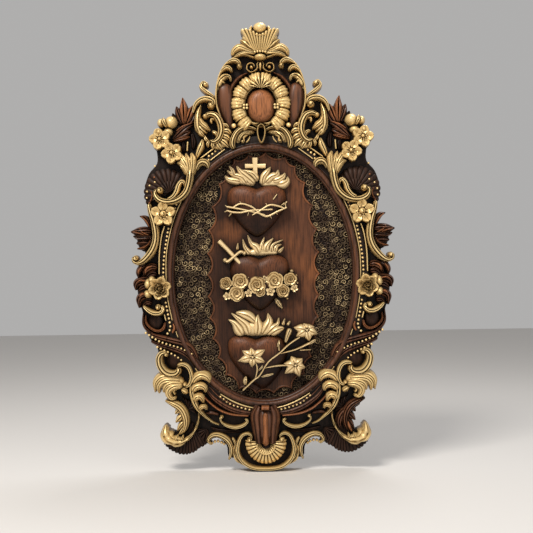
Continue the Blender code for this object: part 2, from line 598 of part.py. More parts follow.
def carve_first_heart(bm):
    """The heart with the cross, the flames and the crown of thorns."""
    add_heart(bm, -7.5, 40, 51, 122)
    add_bar(bm, (-9, 128), (-9, 157), 8.2, 0.5)
    add_bar(bm, (-22, 146.5), (4.5, 146.5), 6.8, 0.45)
    add_tongues(bm, (((-10, 122, 9), (-20, 131, 9), (-28, 138, 7), (-34, 147, 1)),
                     ((-20, 122, 9), (-27, 131, 8), (-38, 135, 6), (-47, 141, 1)),
                     ((-28, 125, 8), (-37, 127, 8), (-45, 129, 6), (-50, 134, 1)),
                     ((-38, 133, 5), (-39, 140, 5), (-44, 147, 1)),
                     ((-5, 127, 7), (-13, 136, 7), (-27, 141, 2)),
                     ((0, 121, 7), (2, 131, 8), (7, 138, 7), (12, 145, 1)),
                     ((4, 123, 8), (12, 131, 9), (20, 134, 8), (22, 141, 1)),
                     ((13, 125, 8), (23, 128, 9), (29, 132, 6), (31, 137, 1)),
                     ((19, 121, 7), (28, 122, 11), (34, 126, 7), (34, 132, 1))))
    crown = HEART + 0.0012
    for strand in (((-48, 92, 2.4), (-30, 88.5, 2.4), (-11, 84, 2.4)),
                   ((-40, 90, 2.4), (-29, 95.5, 2.4), (-14, 91, 2.4), (-2, 81, 2.4), (7, 78.5, 2.4), (20, 84.5, 2.4),
                    (33, 90, 2.4)),
                   ((-5, 85, 2.4), (9, 93, 2.4), (31, 88, 2.4)),
                   ((-48, 87, 2.4), (-40, 84.5, 2.4), (-28, 84, 2.4))):
        add_stroke(bm, strand, crown, depth_of(0.5, FIELD, HEART))


def carve_second_heart(bm):
    """The heart with the flames, the dagger and the band of roses."""
    add_heart(bm, -5, 40, -48, 28)
    add_tongues(bm, (((-17, 28, 9), (-22, 34, 6), (-25, 40, 4), (-27, 49, 1)),
                     ((-5, 28, 10), (-9, 37, 9), (-16, 43, 5), (-20.5, 54, 1)),
                     ((0, 29, 9), (-2, 38, 6), (2, 51, 1)),
                     ((4, 30, 9), (5, 39, 8), (14, 49.5, 1)),
                     ((11, 30, 7), (13, 40, 4), (27, 47, 1)),
                     ((16, 30, 8), (18, 38, 5), (25, 41, 1)),
                     ((20, 30, 5), (24, 33, 4), (28, 37.5, 1)),
                     ((-34.5, 34, 4), (-33.5, 44, 1))))
    add_bar(bm, (-59.5, 47), (-30.5, 15.5), 6.4, 0.75)
    add_stroke(bm, ((-52, 20.5, 5), (-47, 18.5, 5), (-36, 27.5, 5), (-29, 32, 5), (-24, 29.5, 5)),
               depth_of(0.95, FIELD, HEART), FIELD)
    roses = ((-50, -10.5, 8), (-31, -8, 10.5), (-36, -24, 10), (-9, -13, 11), (-5, -21, 7), (15, -7.5, 11),
             (26, -21.5, 8.5), (36, -6, 8.5))
    for u, v, radius in roses:
        add_dome(bm, u, v, radius, HEART + 0.0035, FIELD)
        add_bead(bm, u, v, radius * 0.4, HEART + 0.006, HEART + 0.003)
    for u, v, radius in ((-49, -27.5, 5), (-20, -24, 5), (9, -22, 6), (41, -18, 5), (38, 4.5, 2.6), (2, -7, 6)):
        add_dome(bm, u, v, radius, depth_of(0.85, FIELD, HEART), FIELD, sides=4)
    add_stroke(bm, ((15, -33, 3), (20, -39.5, 7.5), (25, -45.5, 3)), depth_of(0.6, FIELD, HEART), FIELD)


def add_lily(bm, centre, tips):
    """An open lily, each petal a stroke to its tip."""
    for tip in tips:
        middle = Vector(centre).lerp(Vector(tip), 0.55)
        add_stroke(bm, ((*centre, 3.5), (*middle, 7.5), (*tip, 1)), HEART + 0.004, depth_of(0.3, FIELD, HEART))


def carve_third_heart(bm):
    """The heart with the flames and the branch of lilies."""
    add_heart(bm, -12, 40, -149, -80, skew=9.0)
    add_tongues(bm, (((-29, -81, 12), (-35, -71, 10), (-40, -64, 6), (-48, -59, 1)),
                     ((-20, -80, 11), (-24, -68, 10), (-32, -60, 7), (-44, -50.5, 1)),
                     ((-10, -64, 5), (-19, -56, 9), (-28, -52, 8), (-38, -50, 2)),
                     ((-10, -81, 10), (-8, -70, 10), (-9, -61, 7), (-8, -53, 1)),
                     ((-3, -80, 9), (4, -69, 10), (7, -61, 7), (5, -51, 1)),
                     ((3, -80, 8), (12, -71, 8), (18, -66, 4), (20, -57.5, 1)),
                     ((8, -80, 7), (17, -74, 8), (27, -71, 3)),
                     ((25, -68, 4), (28, -58.5, 1)),
                     ((31, -68, 4), (35, -62, 1))), level=0.9)
    stem = HEART + 0.002
    level = depth_of(0.35, FIELD, HEART)
    for branch in (((-30, -154, 3), (-14, -139.5, 3.2), (-7, -134, 3), (5, -116, 3), (20, -104.5, 3.2), (33, -93, 2.6),
                    (50, -81, 2.6)),
                   ((-13, -140, 2.4), (-10, -124, 3.5), (-14, -113, 2.4)),
                   ((0, -124, 2.4), (16, -121.5, 3), (32, -121, 2.4)),
                   ((21, -105, 2.4), (42, -100, 2.4), (62, -91, 4)),
                   ((-26, -147, 3), (-26.5, -141, 6.5), (-25, -135, 2)),
                   ((19.5, -102, 3), (19, -93, 2)),
                   ((-6, -136, 2), (3, -134, 4.5), (12, -132, 2)),
                   ((47, -101, 2), (62, -100.5, 1.5)),
                   ((28, -91, 3), (31, -82, 6), (35, -72, 8))):
        add_stroke(bm, branch, stem, level)
    add_lily(bm, (-16, -109), ((-34, -114), (-29, -101), (-18, -97), (0, -100), (0, -116), (-17, -122)))
    add_lily(bm, (57, -74), ((41, -71), (53, -66), (66, -70), (70, -79), (60, -88), (44, -82)))
    add_lily(bm, (41, -121), ((36, -110), (50, -113), (53, -124), (46, -135), (28, -131), (27, -119)))


def make_frame(parts, tools):
    """The carved frame, one piece of wood, with a rebate behind its moulding for the panel."""
    outline = list(SILHOUETTE) + mirrored(SILHOUETTE)[-2:0:-1]
    frame = piece("frame", flat_outline("frame", (outline,), GROUND), material("dark_wood", MAHOGANY, 0.45), parts)
    carve = (carve_oval, carve_crest, carve_shoulders, carve_flowers, carve_sides, carve_straps, carve_feet,
             carve_foot_shell)
    combine(frame, "UNION", "frame_carving", carve, tools)
    thin_out(frame, FRAME_SHARE)
    combine(frame, "DIFFERENCE", "frame_opening", (add_opening,), tools, solver="MANIFOLD")
    combine(frame, "UNION", "frame_moulding", (add_moulding,), tools, solver="MANIFOLD")


def make_panel(parts, tools):
    """The oval panel, one piece of wood, with its field and its three hearts."""
    finish = material("field_wood", FIELD_BROWN, 0.5)
    field = carving_mesh("panel", (carve_field,))
    panel = piece("panel", field, finish, parts)
    hearts = (carve_first_heart, carve_second_heart, carve_third_heart)
    combine(panel, "UNION", "panel_carving", hearts, tools)
    thin_out(panel, PANEL_SHARE)
    combine(panel, "UNION", "panel_board", (add_panel_board,), tools, solver="MANIFOLD")


def main():
    for old in list(bpy.data.objects):
        bpy.data.objects.remove(old)
    parts = bpy.data.collections.new("retablo")
    tools = bpy.data.collections.new("retablo_tools")
    for made in (parts, tools):
        bpy.context.scene.collection.children.link(made)
    make_frame(parts, tools)
    make_panel(parts, tools)


main()
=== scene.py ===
"""A carved retablo: a gilded baroque frame with a crest, round an oval panel of three hearts.

The carving is drawn in millimetres: u to the right and v up from the centre of the oval, and depth out from the
flat back.
"""
import math

import bmesh
import bpy
import numpy as np
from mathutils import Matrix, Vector


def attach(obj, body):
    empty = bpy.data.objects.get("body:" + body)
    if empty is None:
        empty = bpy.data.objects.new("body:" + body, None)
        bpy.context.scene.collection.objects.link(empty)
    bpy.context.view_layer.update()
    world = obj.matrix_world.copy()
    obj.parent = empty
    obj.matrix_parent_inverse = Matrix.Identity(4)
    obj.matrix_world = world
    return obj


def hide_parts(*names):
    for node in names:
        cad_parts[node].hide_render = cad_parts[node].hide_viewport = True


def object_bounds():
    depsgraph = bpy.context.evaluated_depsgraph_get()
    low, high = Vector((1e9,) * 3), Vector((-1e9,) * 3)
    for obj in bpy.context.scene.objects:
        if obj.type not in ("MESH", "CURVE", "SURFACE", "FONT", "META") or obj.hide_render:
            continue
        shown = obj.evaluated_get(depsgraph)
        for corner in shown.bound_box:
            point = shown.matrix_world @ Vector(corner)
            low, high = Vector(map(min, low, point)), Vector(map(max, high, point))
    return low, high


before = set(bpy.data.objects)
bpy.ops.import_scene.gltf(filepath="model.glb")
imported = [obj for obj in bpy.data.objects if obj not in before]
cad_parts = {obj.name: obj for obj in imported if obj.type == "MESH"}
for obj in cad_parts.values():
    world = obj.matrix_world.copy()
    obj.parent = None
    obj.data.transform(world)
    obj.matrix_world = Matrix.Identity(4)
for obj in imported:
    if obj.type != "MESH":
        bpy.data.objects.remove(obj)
cad_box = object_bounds()

# Levels of the carving, from the back
GROUND = 14.0  # the board's face
BED = 22.0  # the ring that carries the gilt lines and the beads
CROWN = 38.0  # the boldest carving
PANEL = 8.0  # the ground of the panel
FIELD = 12.5  # the smooth field
HEART = 27.0  # the hearts' highest points

SIGHT = (119.5, 166.0)  # half axes of the oval opening
REBATE = 6.0  # how far the hole in the board lies outside the opening
CLEARANCE = 0.3  # between the panel and its rebate
STEP = 1.7  # spacing of the rows along a band
SLANT = 0.6  # how far a leaf's notches run back at its edges, in leaflets
rng = np.random.default_rng(7)


def level(share, foot=GROUND, crown=CROWN):
    """The depth of a share, 0 to 1, of the way from a foot to the crown of the carving."""
    return foot + share * (crown - foot)


class Carving:
    """The points and faces of one piece. Shade is 1 on what stands proud, and 0 in a crease."""

    def __init__(self):
        self.points = []
        self.faces = []
        self.shade = []
        self.count = 0

    def add(self, rows, shade, loop=False):
        """A body through closed rings of points, with its ends capped or joined in a loop."""
        rows = np.asarray(rows, float)
        count, around = rows.shape[:2]
        first = self.count
        self.points.append(rows.reshape(-1, 3))
        self.shade.append(np.broadcast_to(shade, (count, around)).reshape(-1))
        self.count += count * around
        for i in range(count if loop else count - 1):
            a = first + i * around
            b = first + (i + 1) % count * around
            for j in range(around):
                k = (j + 1) % around
                self.faces.append((a + j, a + k, b + k, b + j))
        if not loop:
            self.faces.append(tuple(range(first + around - 1, first - 1, -1)))
            self.faces.append(tuple(range(self.count - around, self.count)))

    def add_grid(self, rows, shade):
        """The points of an open sheet, whose faces the caller adds. It returns the number of the first."""
        count, across = rows.shape[:2]
        first = self.count
        self.points.append(rows.reshape(-1, 3))
        self.shade.append(shade.reshape(-1))
        self.count += count * across
        return first

    def build(self, name, material, node):
        """The finished piece, in place of a solid."""
        points = np.vstack(self.points)
        places = np.column_stack((points[:, 0], -points[:, 2], points[:, 1])) / 1000
        mesh = bpy.data.meshes.new(name)
        mesh.from_pydata(places.tolist(), [], self.faces)
        made = bpy.data.objects.new(name, mesh)
        bpy.context.scene.collection.objects.link(made)
        shades = mesh.attributes.new("shade", "FLOAT", "POINT")
        shades.data.foreach_set("value", np.clip(np.concatenate(self.shade), 0, 1).astype(np.float32))
        bm = bmesh.new()
        bm.from_mesh(mesh)
        bmesh.ops.recalc_face_normals(bm, faces=bm.faces)
        bm.to_mesh(mesh)
        bm.free()
        mesh.shade_smooth()
        mesh.set_sharp_from_angle(angle=math.radians(52))
        mesh.materials.append(material)
        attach(made, "root")
        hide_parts(node)
        return made


def spline(points, loop=False, step=STEP):
    """A smooth curve through rows of numbers, the first two of which are its place."""
    points = np.asarray(points, float)
    if loop:
        padded = np.vstack((points[-1:], points, points[:2]))
    else:
        padded = np.vstack((2 * points[:1] - points[1:2], points, 2 * points[-1:] - points[-2:-1]))
    spans = []
    for a, b, c, d in zip(padded, padded[1:], padded[2:], padded[3:]):
        count = max(3, int(np.linalg.norm((c - b)[:2]) / step))
        t = np.linspace(0, 1, count, endpoint=False)[:, None]
        square = (2 * a - 5 * b + 4 * c - d) * t**2
        cube = (3 * b - a - 3 * c + d) * t**3
        spans.append((2 * b + (c - a) * t + square + cube) / 2)
    if not loop:
        spans.append(points[-1:])
    return np.vstack(spans)


def base_of(foot, free):
    """The depth of a hidden underside."""
    return 2.5 if free else foot - 5.0


def sweep(piece, points, top, foot=GROUND, ribs=1, groove=0.28, lobes=0, free=False, loop=False, blunt=False,
          flat=2.4):
    """A carved band along points (u, v, width).

    Ribs run along it, with a groove between two. Lobes are the leaflets of a leaf, whose notches slant from its
    middle to its edges. A free band hangs over the board's edge. A blunt one has square ends.
    """
    path = spline(points, loop)
    path[:, 2] = np.maximum(path[:, 2], 0.5)
    run = np.concatenate(((0,), np.cumsum(np.linalg.norm(np.diff(path[:, :2], axis=0), axis=1))))
    cap = np.ones(len(path))
    if not loop:
        ends = (path[0, 2] / 2, path[-1, 2] / 2)
        bends = np.array((0.0, 0.05, 0.2, 0.5))
        inner = run[(run > ends[0]) & (run < run[-1] - ends[1])]
        last = run[-1] - bends * ends[1]
        stations = np.unique(np.concatenate((bends * ends[0], ends[:1], inner, last, [run[-1] - ends[1]])))
        stations = stations[(stations >= 0) & (stations <= run[-1])]
        path = np.column_stack([np.interp(stations, run, path[:, k]) for k in range(3)])
        near = np.minimum(stations / ends[0], (run[-1] - stations) / ends[1]).clip(0, 1)
        cap = np.ones(len(path)) if blunt else np.sqrt(1 - (1 - near) ** 2).clip(0.12, 1)
        run = stations
    if loop:
        along = np.roll(path[:, :2], -1, axis=0) - np.roll(path[:, :2], 1, axis=0)
    else:
        along = np.gradient(path[:, :2], axis=0)
    along /= np.linalg.norm(along, axis=1)[:, None]
    side = np.column_stack((-along[:, 1], along[:, 0]))
    across = np.sin(np.linspace(-1, 1, max(11, 8 * ribs + 1)) * math.pi / 2)[None, :]
    width = path[:, 2]
    crest = (top - foot) * (0.5 + 0.5 * width / width.max()) * (0.4 + 0.6 * cap)
    body = (1 - np.abs(across) ** flat).clip(0, 1) ** 0.5
    crease = np.abs(np.cos(math.pi * (across + 1) / 2 * ribs)) ** 9 if ribs > 1 else np.zeros_like(across)
    crease = crease * (np.abs(across) < 0.97)
    half = (width * cap / 2)[:, None] * np.ones_like(across)
    notch = np.zeros((len(path), across.shape[1]))
    if lobes:
        turn = (run / run[-1])[:, None] * lobes
        notch = np.abs(np.cos(math.pi * (turn - np.abs(across) * SLANT))) ** 9 * (0.2 + 0.8 * np.abs(across))
        half = half * (1 - 0.22 * np.abs(np.cos(math.pi * (turn - SLANT))) ** 5)
    height = body * (1 - groove * crease) * (1 - 0.35 * notch)
    depth = foot + crest[:, None] * height
    u = path[:, :1] + side[:, :1] * across * half
    v = path[:, 1:2] + side[:, 1:] * across * half
    surface = np.dstack((u, v, depth))
    under = surface[:, (-1, 0)].copy()
    under[:, :, 2] = base_of(foot, free)
    rows = np.concatenate((surface, under), axis=1)
    shade = body**0.4 * (1 - 0.42 * crease) * (1 - 0.5 * notch)
    shade = np.concatenate((shade * np.ones((len(path), 1)), np.zeros((len(path), 2))), axis=1)
    piece.add(rows, shade, loop)


def mirrored(points):
    """The same points on the other side of the middle line."""
    return [(-p[0],) + tuple(p[1:]) for p in points]


def across_middle(points):
    """A path that ends on the middle line, carried on to its mirror image's start."""
    return list(points) + mirrored(points)[-2::-1]


def arc(centre, radii, angles):
    """Points of an arc about a centre, at angles in degrees."""
    return [(centre[0] + radii[0] * math.cos(math.radians(a)),
             centre[1] + radii[1] * math.sin(math.radians(a))) for a in angles]


def both(piece, points, top, **more):
    """A band on the right side and its mirror image on the left."""
    sweep(piece, points, top, **more)
    sweep(piece, mirrored(points), top, **more)


def polar(piece, u, v, reach, height, shade, top, foot, free=False, turn=0.0, base=None, rings=9):
    """A round body. Reach, height and shade depend on the share out from the middle and on the angle."""
    outs = np.concatenate((np.array((0.02,)), np.sin(np.linspace(0.12, 1, rings) * math.pi / 2)))[:, None]
    angles = np.linspace(0, 2 * math.pi, 60, endpoint=False)[None, :]
    radius = outs * reach(angles)
    depth = foot + (top - foot) * height(outs, angles)
    surface = np.dstack((u + radius * np.cos(angles + turn), v + radius * np.sin(angles + turn), depth))
    skirt = surface[-1:].copy()
    skirt[:, :, 2] = base_of(foot, free) if base is None else base
    rows = np.concatenate((surface, skirt))
    shades = np.concatenate((shade(outs, angles) * np.ones_like(angles), np.zeros_like(angles)))
    piece.add(rows, shades)


def dome(piece, u, v, radius, top, foot=GROUND, tall=None, swirl=0.0, free=False, flat=2.0):
    """A round boss. A tall radius makes it an oval, and a swirl cuts a spiral groove in it."""
    tall = radius if tall is None else tall

    def reach(a):
        return radius * tall / np.sqrt((tall * np.cos(a)) ** 2 + (radius * np.sin(a)) ** 2)

    def cut(r, a):
        phase = (a / (2 * math.pi) * np.sign(swirl) + r * abs(swirl)) % 1.0
        return np.exp(-(((phase - 0.5) / 0.13) ** 2)) * (r > 0.2) * (r < 0.93) if swirl else 0.0 * r * a

    polar(piece, u, v, reach, lambda r, a: (1 - r**flat * 0.93) ** 0.5 * (1 - 0.3 * cut(r, a)),
          lambda r, a: (1 - 0.5 * r**4) * (1 - 0.8 * cut(r, a)), top, foot, free)


def both_domes(piece, u, v, radius, top, swirl=0.0, **more):
    """A boss on both sides, each with its spiral the other way."""
    dome(piece, u, v, radius, top, swirl=swirl, **more)
    dome(piece, -u, v, radius, top, swirl=-swirl, **more)


def petal(piece, u, v, angle, length, width, top, foot, free=False, base=None):
    """One broad, dished petal, from its root at a place out along an angle."""
    along = length / 2
    round_share = 2 * width / length

    def reach(a):
        blunt = 1 + 0.10 * np.cos(2 * a) ** 2 + 0.10 * np.cos(a) - 0.12 * np.exp(-((a / 0.16) ** 2))
        blunt = blunt - 0.12 * np.exp(-(((a - 2 * math.pi) / 0.16) ** 2))
        return along * round_share / np.sqrt((round_share * np.cos(a)) ** 2 + np.sin(a) ** 2) * blunt

    def height(r, a):
        tilt = 1 + 0.14 * r * np.cos(a)
        vein = np.exp(-((np.sin(a) / 0.12) ** 2)) * (r > 0.15)
        return (0.74 + 0.26 * r**1.6) * (1 - 0.55 * r**12) * tilt * (1 - 0.07 * vein)

    def shade(r, a):
        return (0.5 + 0.5 * r + 0.25 * r * np.cos(a)) * (1 - 0.85 * r**10)

    polar(piece, u + along * 1.05 * math.cos(angle), v + along * 1.05 * math.sin(angle), reach, height,
          shade, top / 1.1 + foot * 0.1 / 1.1, foot, free, angle, base)


def flower(piece, u, v, radius, top, foot=GROUND, petals=5, turn=90, free=False, centre=0.27, wide=0.38,
           base=None):
    """An open flower of broad petals, with a domed centre in a ring of small beads."""
    for i in range(petals):
        angle = math.radians(turn + 360 * i / petals)
        root = 0.15 * radius
        petal(piece, u + root * math.cos(angle), v + root * math.sin(angle), angle, 0.86 * radius,
              wide * radius, top - 0.9 * (i % 2), foot, free, base)
    dome(piece, u, v, radius * centre, top + 0.8, foot + 0.4 * (top - foot), swirl=1.3)
    ring = centre + 0.07
    for i in range(9):
        a = math.radians(40 * i)
        bead(piece, u + radius * ring * math.cos(a), v + radius * ring * math.sin(a), 0.06 * radius,
             foot + 0.8 * (top - foot))


def rose(piece, u, v, radius, top, foot=GROUND, turn=0.0, base=None):
    """A full rose, its petals wound in a spiral."""
    petals = 5

    def edge(r, a):
        wound = r * 2.9 - a / (2 * math.pi)
        return (wound + 0.26 * np.abs(np.sin(1.5 * a + 2.2 * np.floor(wound)))) % 1.0

    def reach(a):
        return radius * (0.86 + 0.14 * np.abs(np.cos(a * petals / 2)) ** 0.5)

    def height(r, a):
        dip = 1 - 0.05 * np.abs(np.sin(a * petals / 2))
        return (1 - 0.35 * r**2.5) * (0.6 + 0.4 * edge(r, a) ** 1.4) * dip

    def shade(r, a):
        return 0.02 + 0.54 * (edge(r, a) / 0.6).clip(0, 1) ** 0.9

    polar(piece, u, v, reach, height, shade, top, foot, turn=turn, base=base, rings=18)


def fan(piece, hub, tips, top, hub_share=1.0, groove=0.9, free=False, edge_share=0.45, valley=0.3):
    """A fluted shell: a rib runs from the hub to each tip, with a groove between two ribs."""
    foot = GROUND
    hub_hole = 0.05
    fine = 8
    steps = (len(tips) - 1) * fine + 1
    t = np.linspace(0, len(tips) - 1, steps)
    curve = spline(tips, step=1000.0)
    at = np.linspace(0, len(tips) - 1, len(curve))
    rim = np.column_stack([np.interp(t, at, curve[:, k]) for k in (0, 1)])
    lobe = np.abs(np.cos(math.pi * t))[:, None]
    outs = hub_hole + (1 - hub_hole) * np.array((0, 0.16, 0.33, 0.5, 0.66, 0.82, 0.92, 0.98, 1.0))[None, :]
    reach = (groove + (1 - groove) * lobe**0.6) * outs
    u = hub[0] + (rim[:, :1] - hub[0]) * reach
    v = hub[1] + (rim[:, 1:] - hub[1]) * reach
    swell = np.interp(outs[0], (0, 0.5, 0.85, 1), (hub_share, 1, 0.85, edge_share))[None, :]
    depth = foot + (top - foot) * swell * (1 - valley * (1 - lobe) ** 1.6 * (2.5 * outs).clip(0, 1))
    surface = np.dstack((u, v, depth))
    under = surface[:, (-1, 0)].copy()
    under[:, :, 2] = base_of(foot, free)
    fold = min(1, 0.3 + 2 * valley)
    shade = (1 - 0.85 * fold * (1 - lobe**0.45)) * (0.45 + 0.55 * swell) * np.ones_like(outs)
    shade = np.concatenate((shade, np.zeros((steps, 2))), axis=1)
    piece.add(np.concatenate((surface, under), axis=1), shade)


def both_fans(piece, hub, tips, top, **more):
    """A shell on both sides."""
    for side in (1, -1):
        fan(piece, (side * hub[0], hub[1]), [(side * u, v) for u, v in tips], top, **more)


def ruffle(piece, centre, inner, outer, start, end, lobes, top):
    """A ring of folded shells, from one angle to another."""
    foot = GROUND
    count = lobes * 14 + 1
    angles = np.radians(np.linspace(start, end, count))[:, None]
    place = np.linspace(0, lobes, count)[:, None]
    swell = np.abs(np.sin(math.pi * place)) ** 0.35
    pleat = np.abs(np.cos(3.5 * math.pi * place))
    out = np.linspace(0, 1, 17)[None, :]
    body = np.sin(math.pi * (0.05 + 0.9 * out)) ** 0.4
    wave = 0.02 * np.sin(7 * math.pi * place)
    near = 1 - 0.05 * swell
    far = 1 + 0.09 * (swell - 0.5) + wave
    wide = near * inner[0] + (far * outer[0] - near * inner[0]) * out
    tall = near * inner[1] + (far * outer[1] - near * inner[1]) * out
    lip = np.exp(-(((out - 0.88) / 0.05) ** 2)) + np.exp(-(((out - 0.14) / 0.06) ** 2))
    fold = np.exp(-(((out - 0.52 - 0.1 * np.sin(2 * math.pi * place)) / 0.04) ** 2))
    depth = foot + (top - foot) * body * (0.84 + 0.16 * swell) * (1 - 0.07 * pleat**3 * (out > 0.2))
    depth = depth + 0.9 * lip * swell - 0.9 * fold
    surface = np.dstack((centre[0] + wide * np.cos(angles), centre[1] + tall * np.sin(angles), depth))
    under = surface[:, (-1, 0)].copy()
    under[:, :, 2] = base_of(foot, False)
    shade = (0.15 + 0.85 * swell**0.7) * (1 - 0.3 * pleat**4) * (0.5 + 0.5 * body) * (1 - 0.35 * fold)
    shade = np.concatenate((shade, np.zeros((len(angles), 2))), axis=1)
    piece.add(np.concatenate((surface, under), axis=1), shade)


def bead(piece, u, v, radius, foot):
    """A small round bead on a surface."""
    angles = np.linspace(0, 2 * math.pi, 10, endpoint=False)
    rows = []
    for out, up in ((0.85, -1.2), (1.0, 0.1), (0.82, 0.65), (0.45, 0.98), (0.06, 1.08)):
        ring = np.column_stack((u + radius * out * np.cos(angles), v + radius * out * np.sin(angles),
                                np.full(10, foot + radius * up)))
        rows.append(ring)
    piece.add(rows, np.array((0.0, 0.5, 0.9, 1.0, 1.0))[:, None])


def both_beads(piece, places, radius, foot):
    """Single beads on both sides."""
    for u, v in places:
        bead(piece, u, v, radius, foot)
        bead(piece, -u, v, radius, foot)


def bead_row(piece, points, foot, radius=1.8, pitch=5.4, wane=0.0):
    """Beads along a path on both sides. They may wane towards the path's end."""
    path = spline(points, step=0.5)
    run = np.concatenate(((0,), np.cumsum(np.linalg.norm(np.diff(path, axis=0), axis=1))))
    for at in np.arange(0, run[-1] + 0.01, pitch):
        u = np.interp(at, run, path[:, 0])
        v = np.interp(at, run, path[:, 1])
        size = radius * (1 - wane * at / run[-1])
        both_beads(piece, ((u, v),), size, foot)


def oval(extra, angles):
    """Points of an oval that lies outside the opening by a width."""
    return np.column_stack(((SIGHT[0] + extra) * np.cos(angles), (SIGHT[1] + extra) * np.sin(angles)))


def oval_ring(piece, section):
    """A moulding right round the opening, from a section of (extra, depth, shade)."""
    angles = np.linspace(0, 2 * math.pi, 200, endpoint=False)
    rings = [np.column_stack((oval(extra, angles), np.full(len(angles), depth)))
             for extra, depth, _ in section]
    piece.add(np.stack(rings, axis=1), np.array([shade for _, _, shade in section])[None, :], loop=True)


# Materials

def new_material(name):
    """A material with its nodes, its links and its Principled shader."""
    made = bpy.data.materials.new(name)
    made.use_nodes = True
    return made, made.node_tree.nodes, made.node_tree.links, made.node_tree.nodes["Principled BSDF"]


def ramp(nodes, links, source, stops):
    """A colour ramp of (place, colour) stops, driven by a socket."""
    made = nodes.new("ShaderNodeValToRGB")
    while len(made.color_ramp.elements) < len(stops):
        made.color_ramp.elements.new(0.5)
    for element, (place, colour) in zip(made.color_ramp.elements, stops):
        element.position = place
        element.color = (*colour, 1.0)
    links.new(source, made.inputs["Fac"])
    return made.outputs["Color"]


def noise(nodes, links, scale, detail, stretch=(1, 1, 1)):
    """A noise over the object's own coordinates, in metres, stretched along an axis."""
    coordinates = nodes.new("ShaderNodeTexCoord")
    mapping = nodes.new("ShaderNodeMapping")
    mapping.inputs["Scale"].default_value = stretch
    links.new(coordinates.outputs["Object"], mapping.inputs["Vector"])
    made = nodes.new("ShaderNodeTexNoise")
    made.inputs["Scale"].default_value = scale
    made.inputs["Detail"].default_value = detail
    links.new(mapping.outputs["Vector"], made.inputs["Vector"])
    return made.outputs["Fac"]


def math_node(nodes, links, operation, a, b):
    """A maths node on two sockets or numbers."""
    made = nodes.new("ShaderNodeMath")
    made.operation = operation
    for socket, value in zip(made.inputs, (a, b)):
        if isinstance(value, (int, float)):
            socket.default_value = value
        else:
            links.new(value, socket)
    return made.outputs["Value"]


def mix(nodes, links, share, a, b):
    """A mix of two colours."""
    made = nodes.new("ShaderNodeMix")
    made.data_type = "RGBA"
    for socket, value in ((made.inputs[0], share), (made.inputs[6], a), (made.inputs[7], b)):
        if isinstance(value, (int, float)):
            socket.default_value = value
        elif isinstance(value, tuple):
            socket.default_value = (*value, 1.0)
        else:
            links.new(value, socket)
    return made.outputs[2]


def add_bump(nodes, links, shader, height, strength, distance):
    """Fine relief from a height."""
    made = nodes.new("ShaderNodeBump")
    made.inputs["Strength"].default_value = strength
    made.inputs["Distance"].default_value = distance
    links.new(height, made.inputs["Height"])
    links.new(made.outputs["Normal"], shader.inputs["Normal"])


def shade_of(nodes):
    """The piece's own shade."""
    made = nodes.new("ShaderNodeAttribute")
    made.attribute_name = "shade"
    return made.outputs["Fac"]


def facing(nodes, links):
    """1 on what faces the front and 0 on a side wall."""
    geometry = nodes.new("ShaderNodeNewGeometry")
    made = nodes.new("ShaderNodeVectorMath")
    made.operation = "DOT_PRODUCT"
    made.inputs[1].default_value = (0.0, -1.0, 0.0)
    links.new(geometry.outputs["Normal"], made.inputs[0])
    turned = nodes.new("ShaderNodeMapRange")
    turned.interpolation_type = "SMOOTHSTEP"
    turned.inputs["From Min"].default_value = -0.1
    turned.inputs["From Max"].default_value = 0.33
    links.new(made.outputs["Value"], turned.inputs["Value"])
    return turned.outputs["Result"]


def painted_crevice_shade(nodes, links, distance, power=1.4):
    """Painted shade: 1 on open carving and 0 deep in a crevice, from ambient occlusion, to darken the colour
    there.
    """
    made = nodes.new("ShaderNodeAmbientOcclusion")
    made.samples = 6
    made.inputs["Distance"].default_value = distance
    return math_node(nodes, links, "POWER", made.outputs["AO"], power)


def gilding_material(name, middle=(0.62, 0.41, 0.15), bright=(0.88, 0.65, 0.30), spots=0.3):
    """Old gold on carved wood: bright on the ridges and brown in the creases, partly wear and partly painted
    highlight and shade.
    """
    made, nodes, links, shader = new_material(name)
    wear = noise(nodes, links, 160, 5)
    blotch = noise(nodes, links, 35, 3)
    # Wear and painted light: bright where the piece stands proud and faces the front, darker in creases and on
    # side walls as painted shade.
    wear_and_painted_light = math_node(nodes, links, "MULTIPLY", shade_of(nodes), facing(nodes, links))
    uneven = math_node(nodes, links, "MULTIPLY", math_node(nodes, links, "SUBTRACT", wear, 0.5), 0.35)
    gold = ramp(nodes, links, math_node(nodes, links, "ADD", wear_and_painted_light, uneven),
                ((0.0, (0.07, 0.035, 0.012)), (0.2, (0.30, 0.175, 0.055)), (0.44, middle), (0.9, bright)))
    spotted = mix(nodes, links, math_node(nodes, links, "MULTIPLY", blotch, spots), gold, (0.5, 0.3, 0.09))
    # Painted shade: crevices darkened to a deep brown.
    deep = mix(nodes, links, painted_crevice_shade(nodes, links, 0.0038, 0.9), (0.05, 0.024, 0.009), spotted)
    links.new(deep, shader.inputs["Base Color"])
    shader.inputs["Metallic"].default_value = 0.4
    links.new(math_node(nodes, links, "ADD", math_node(nodes, links, "MULTIPLY", wear, 0.3), 0.22),
              shader.inputs["Roughness"])
    add_bump(nodes, links, shader, wear, 0.35, 0.0006)
    return made


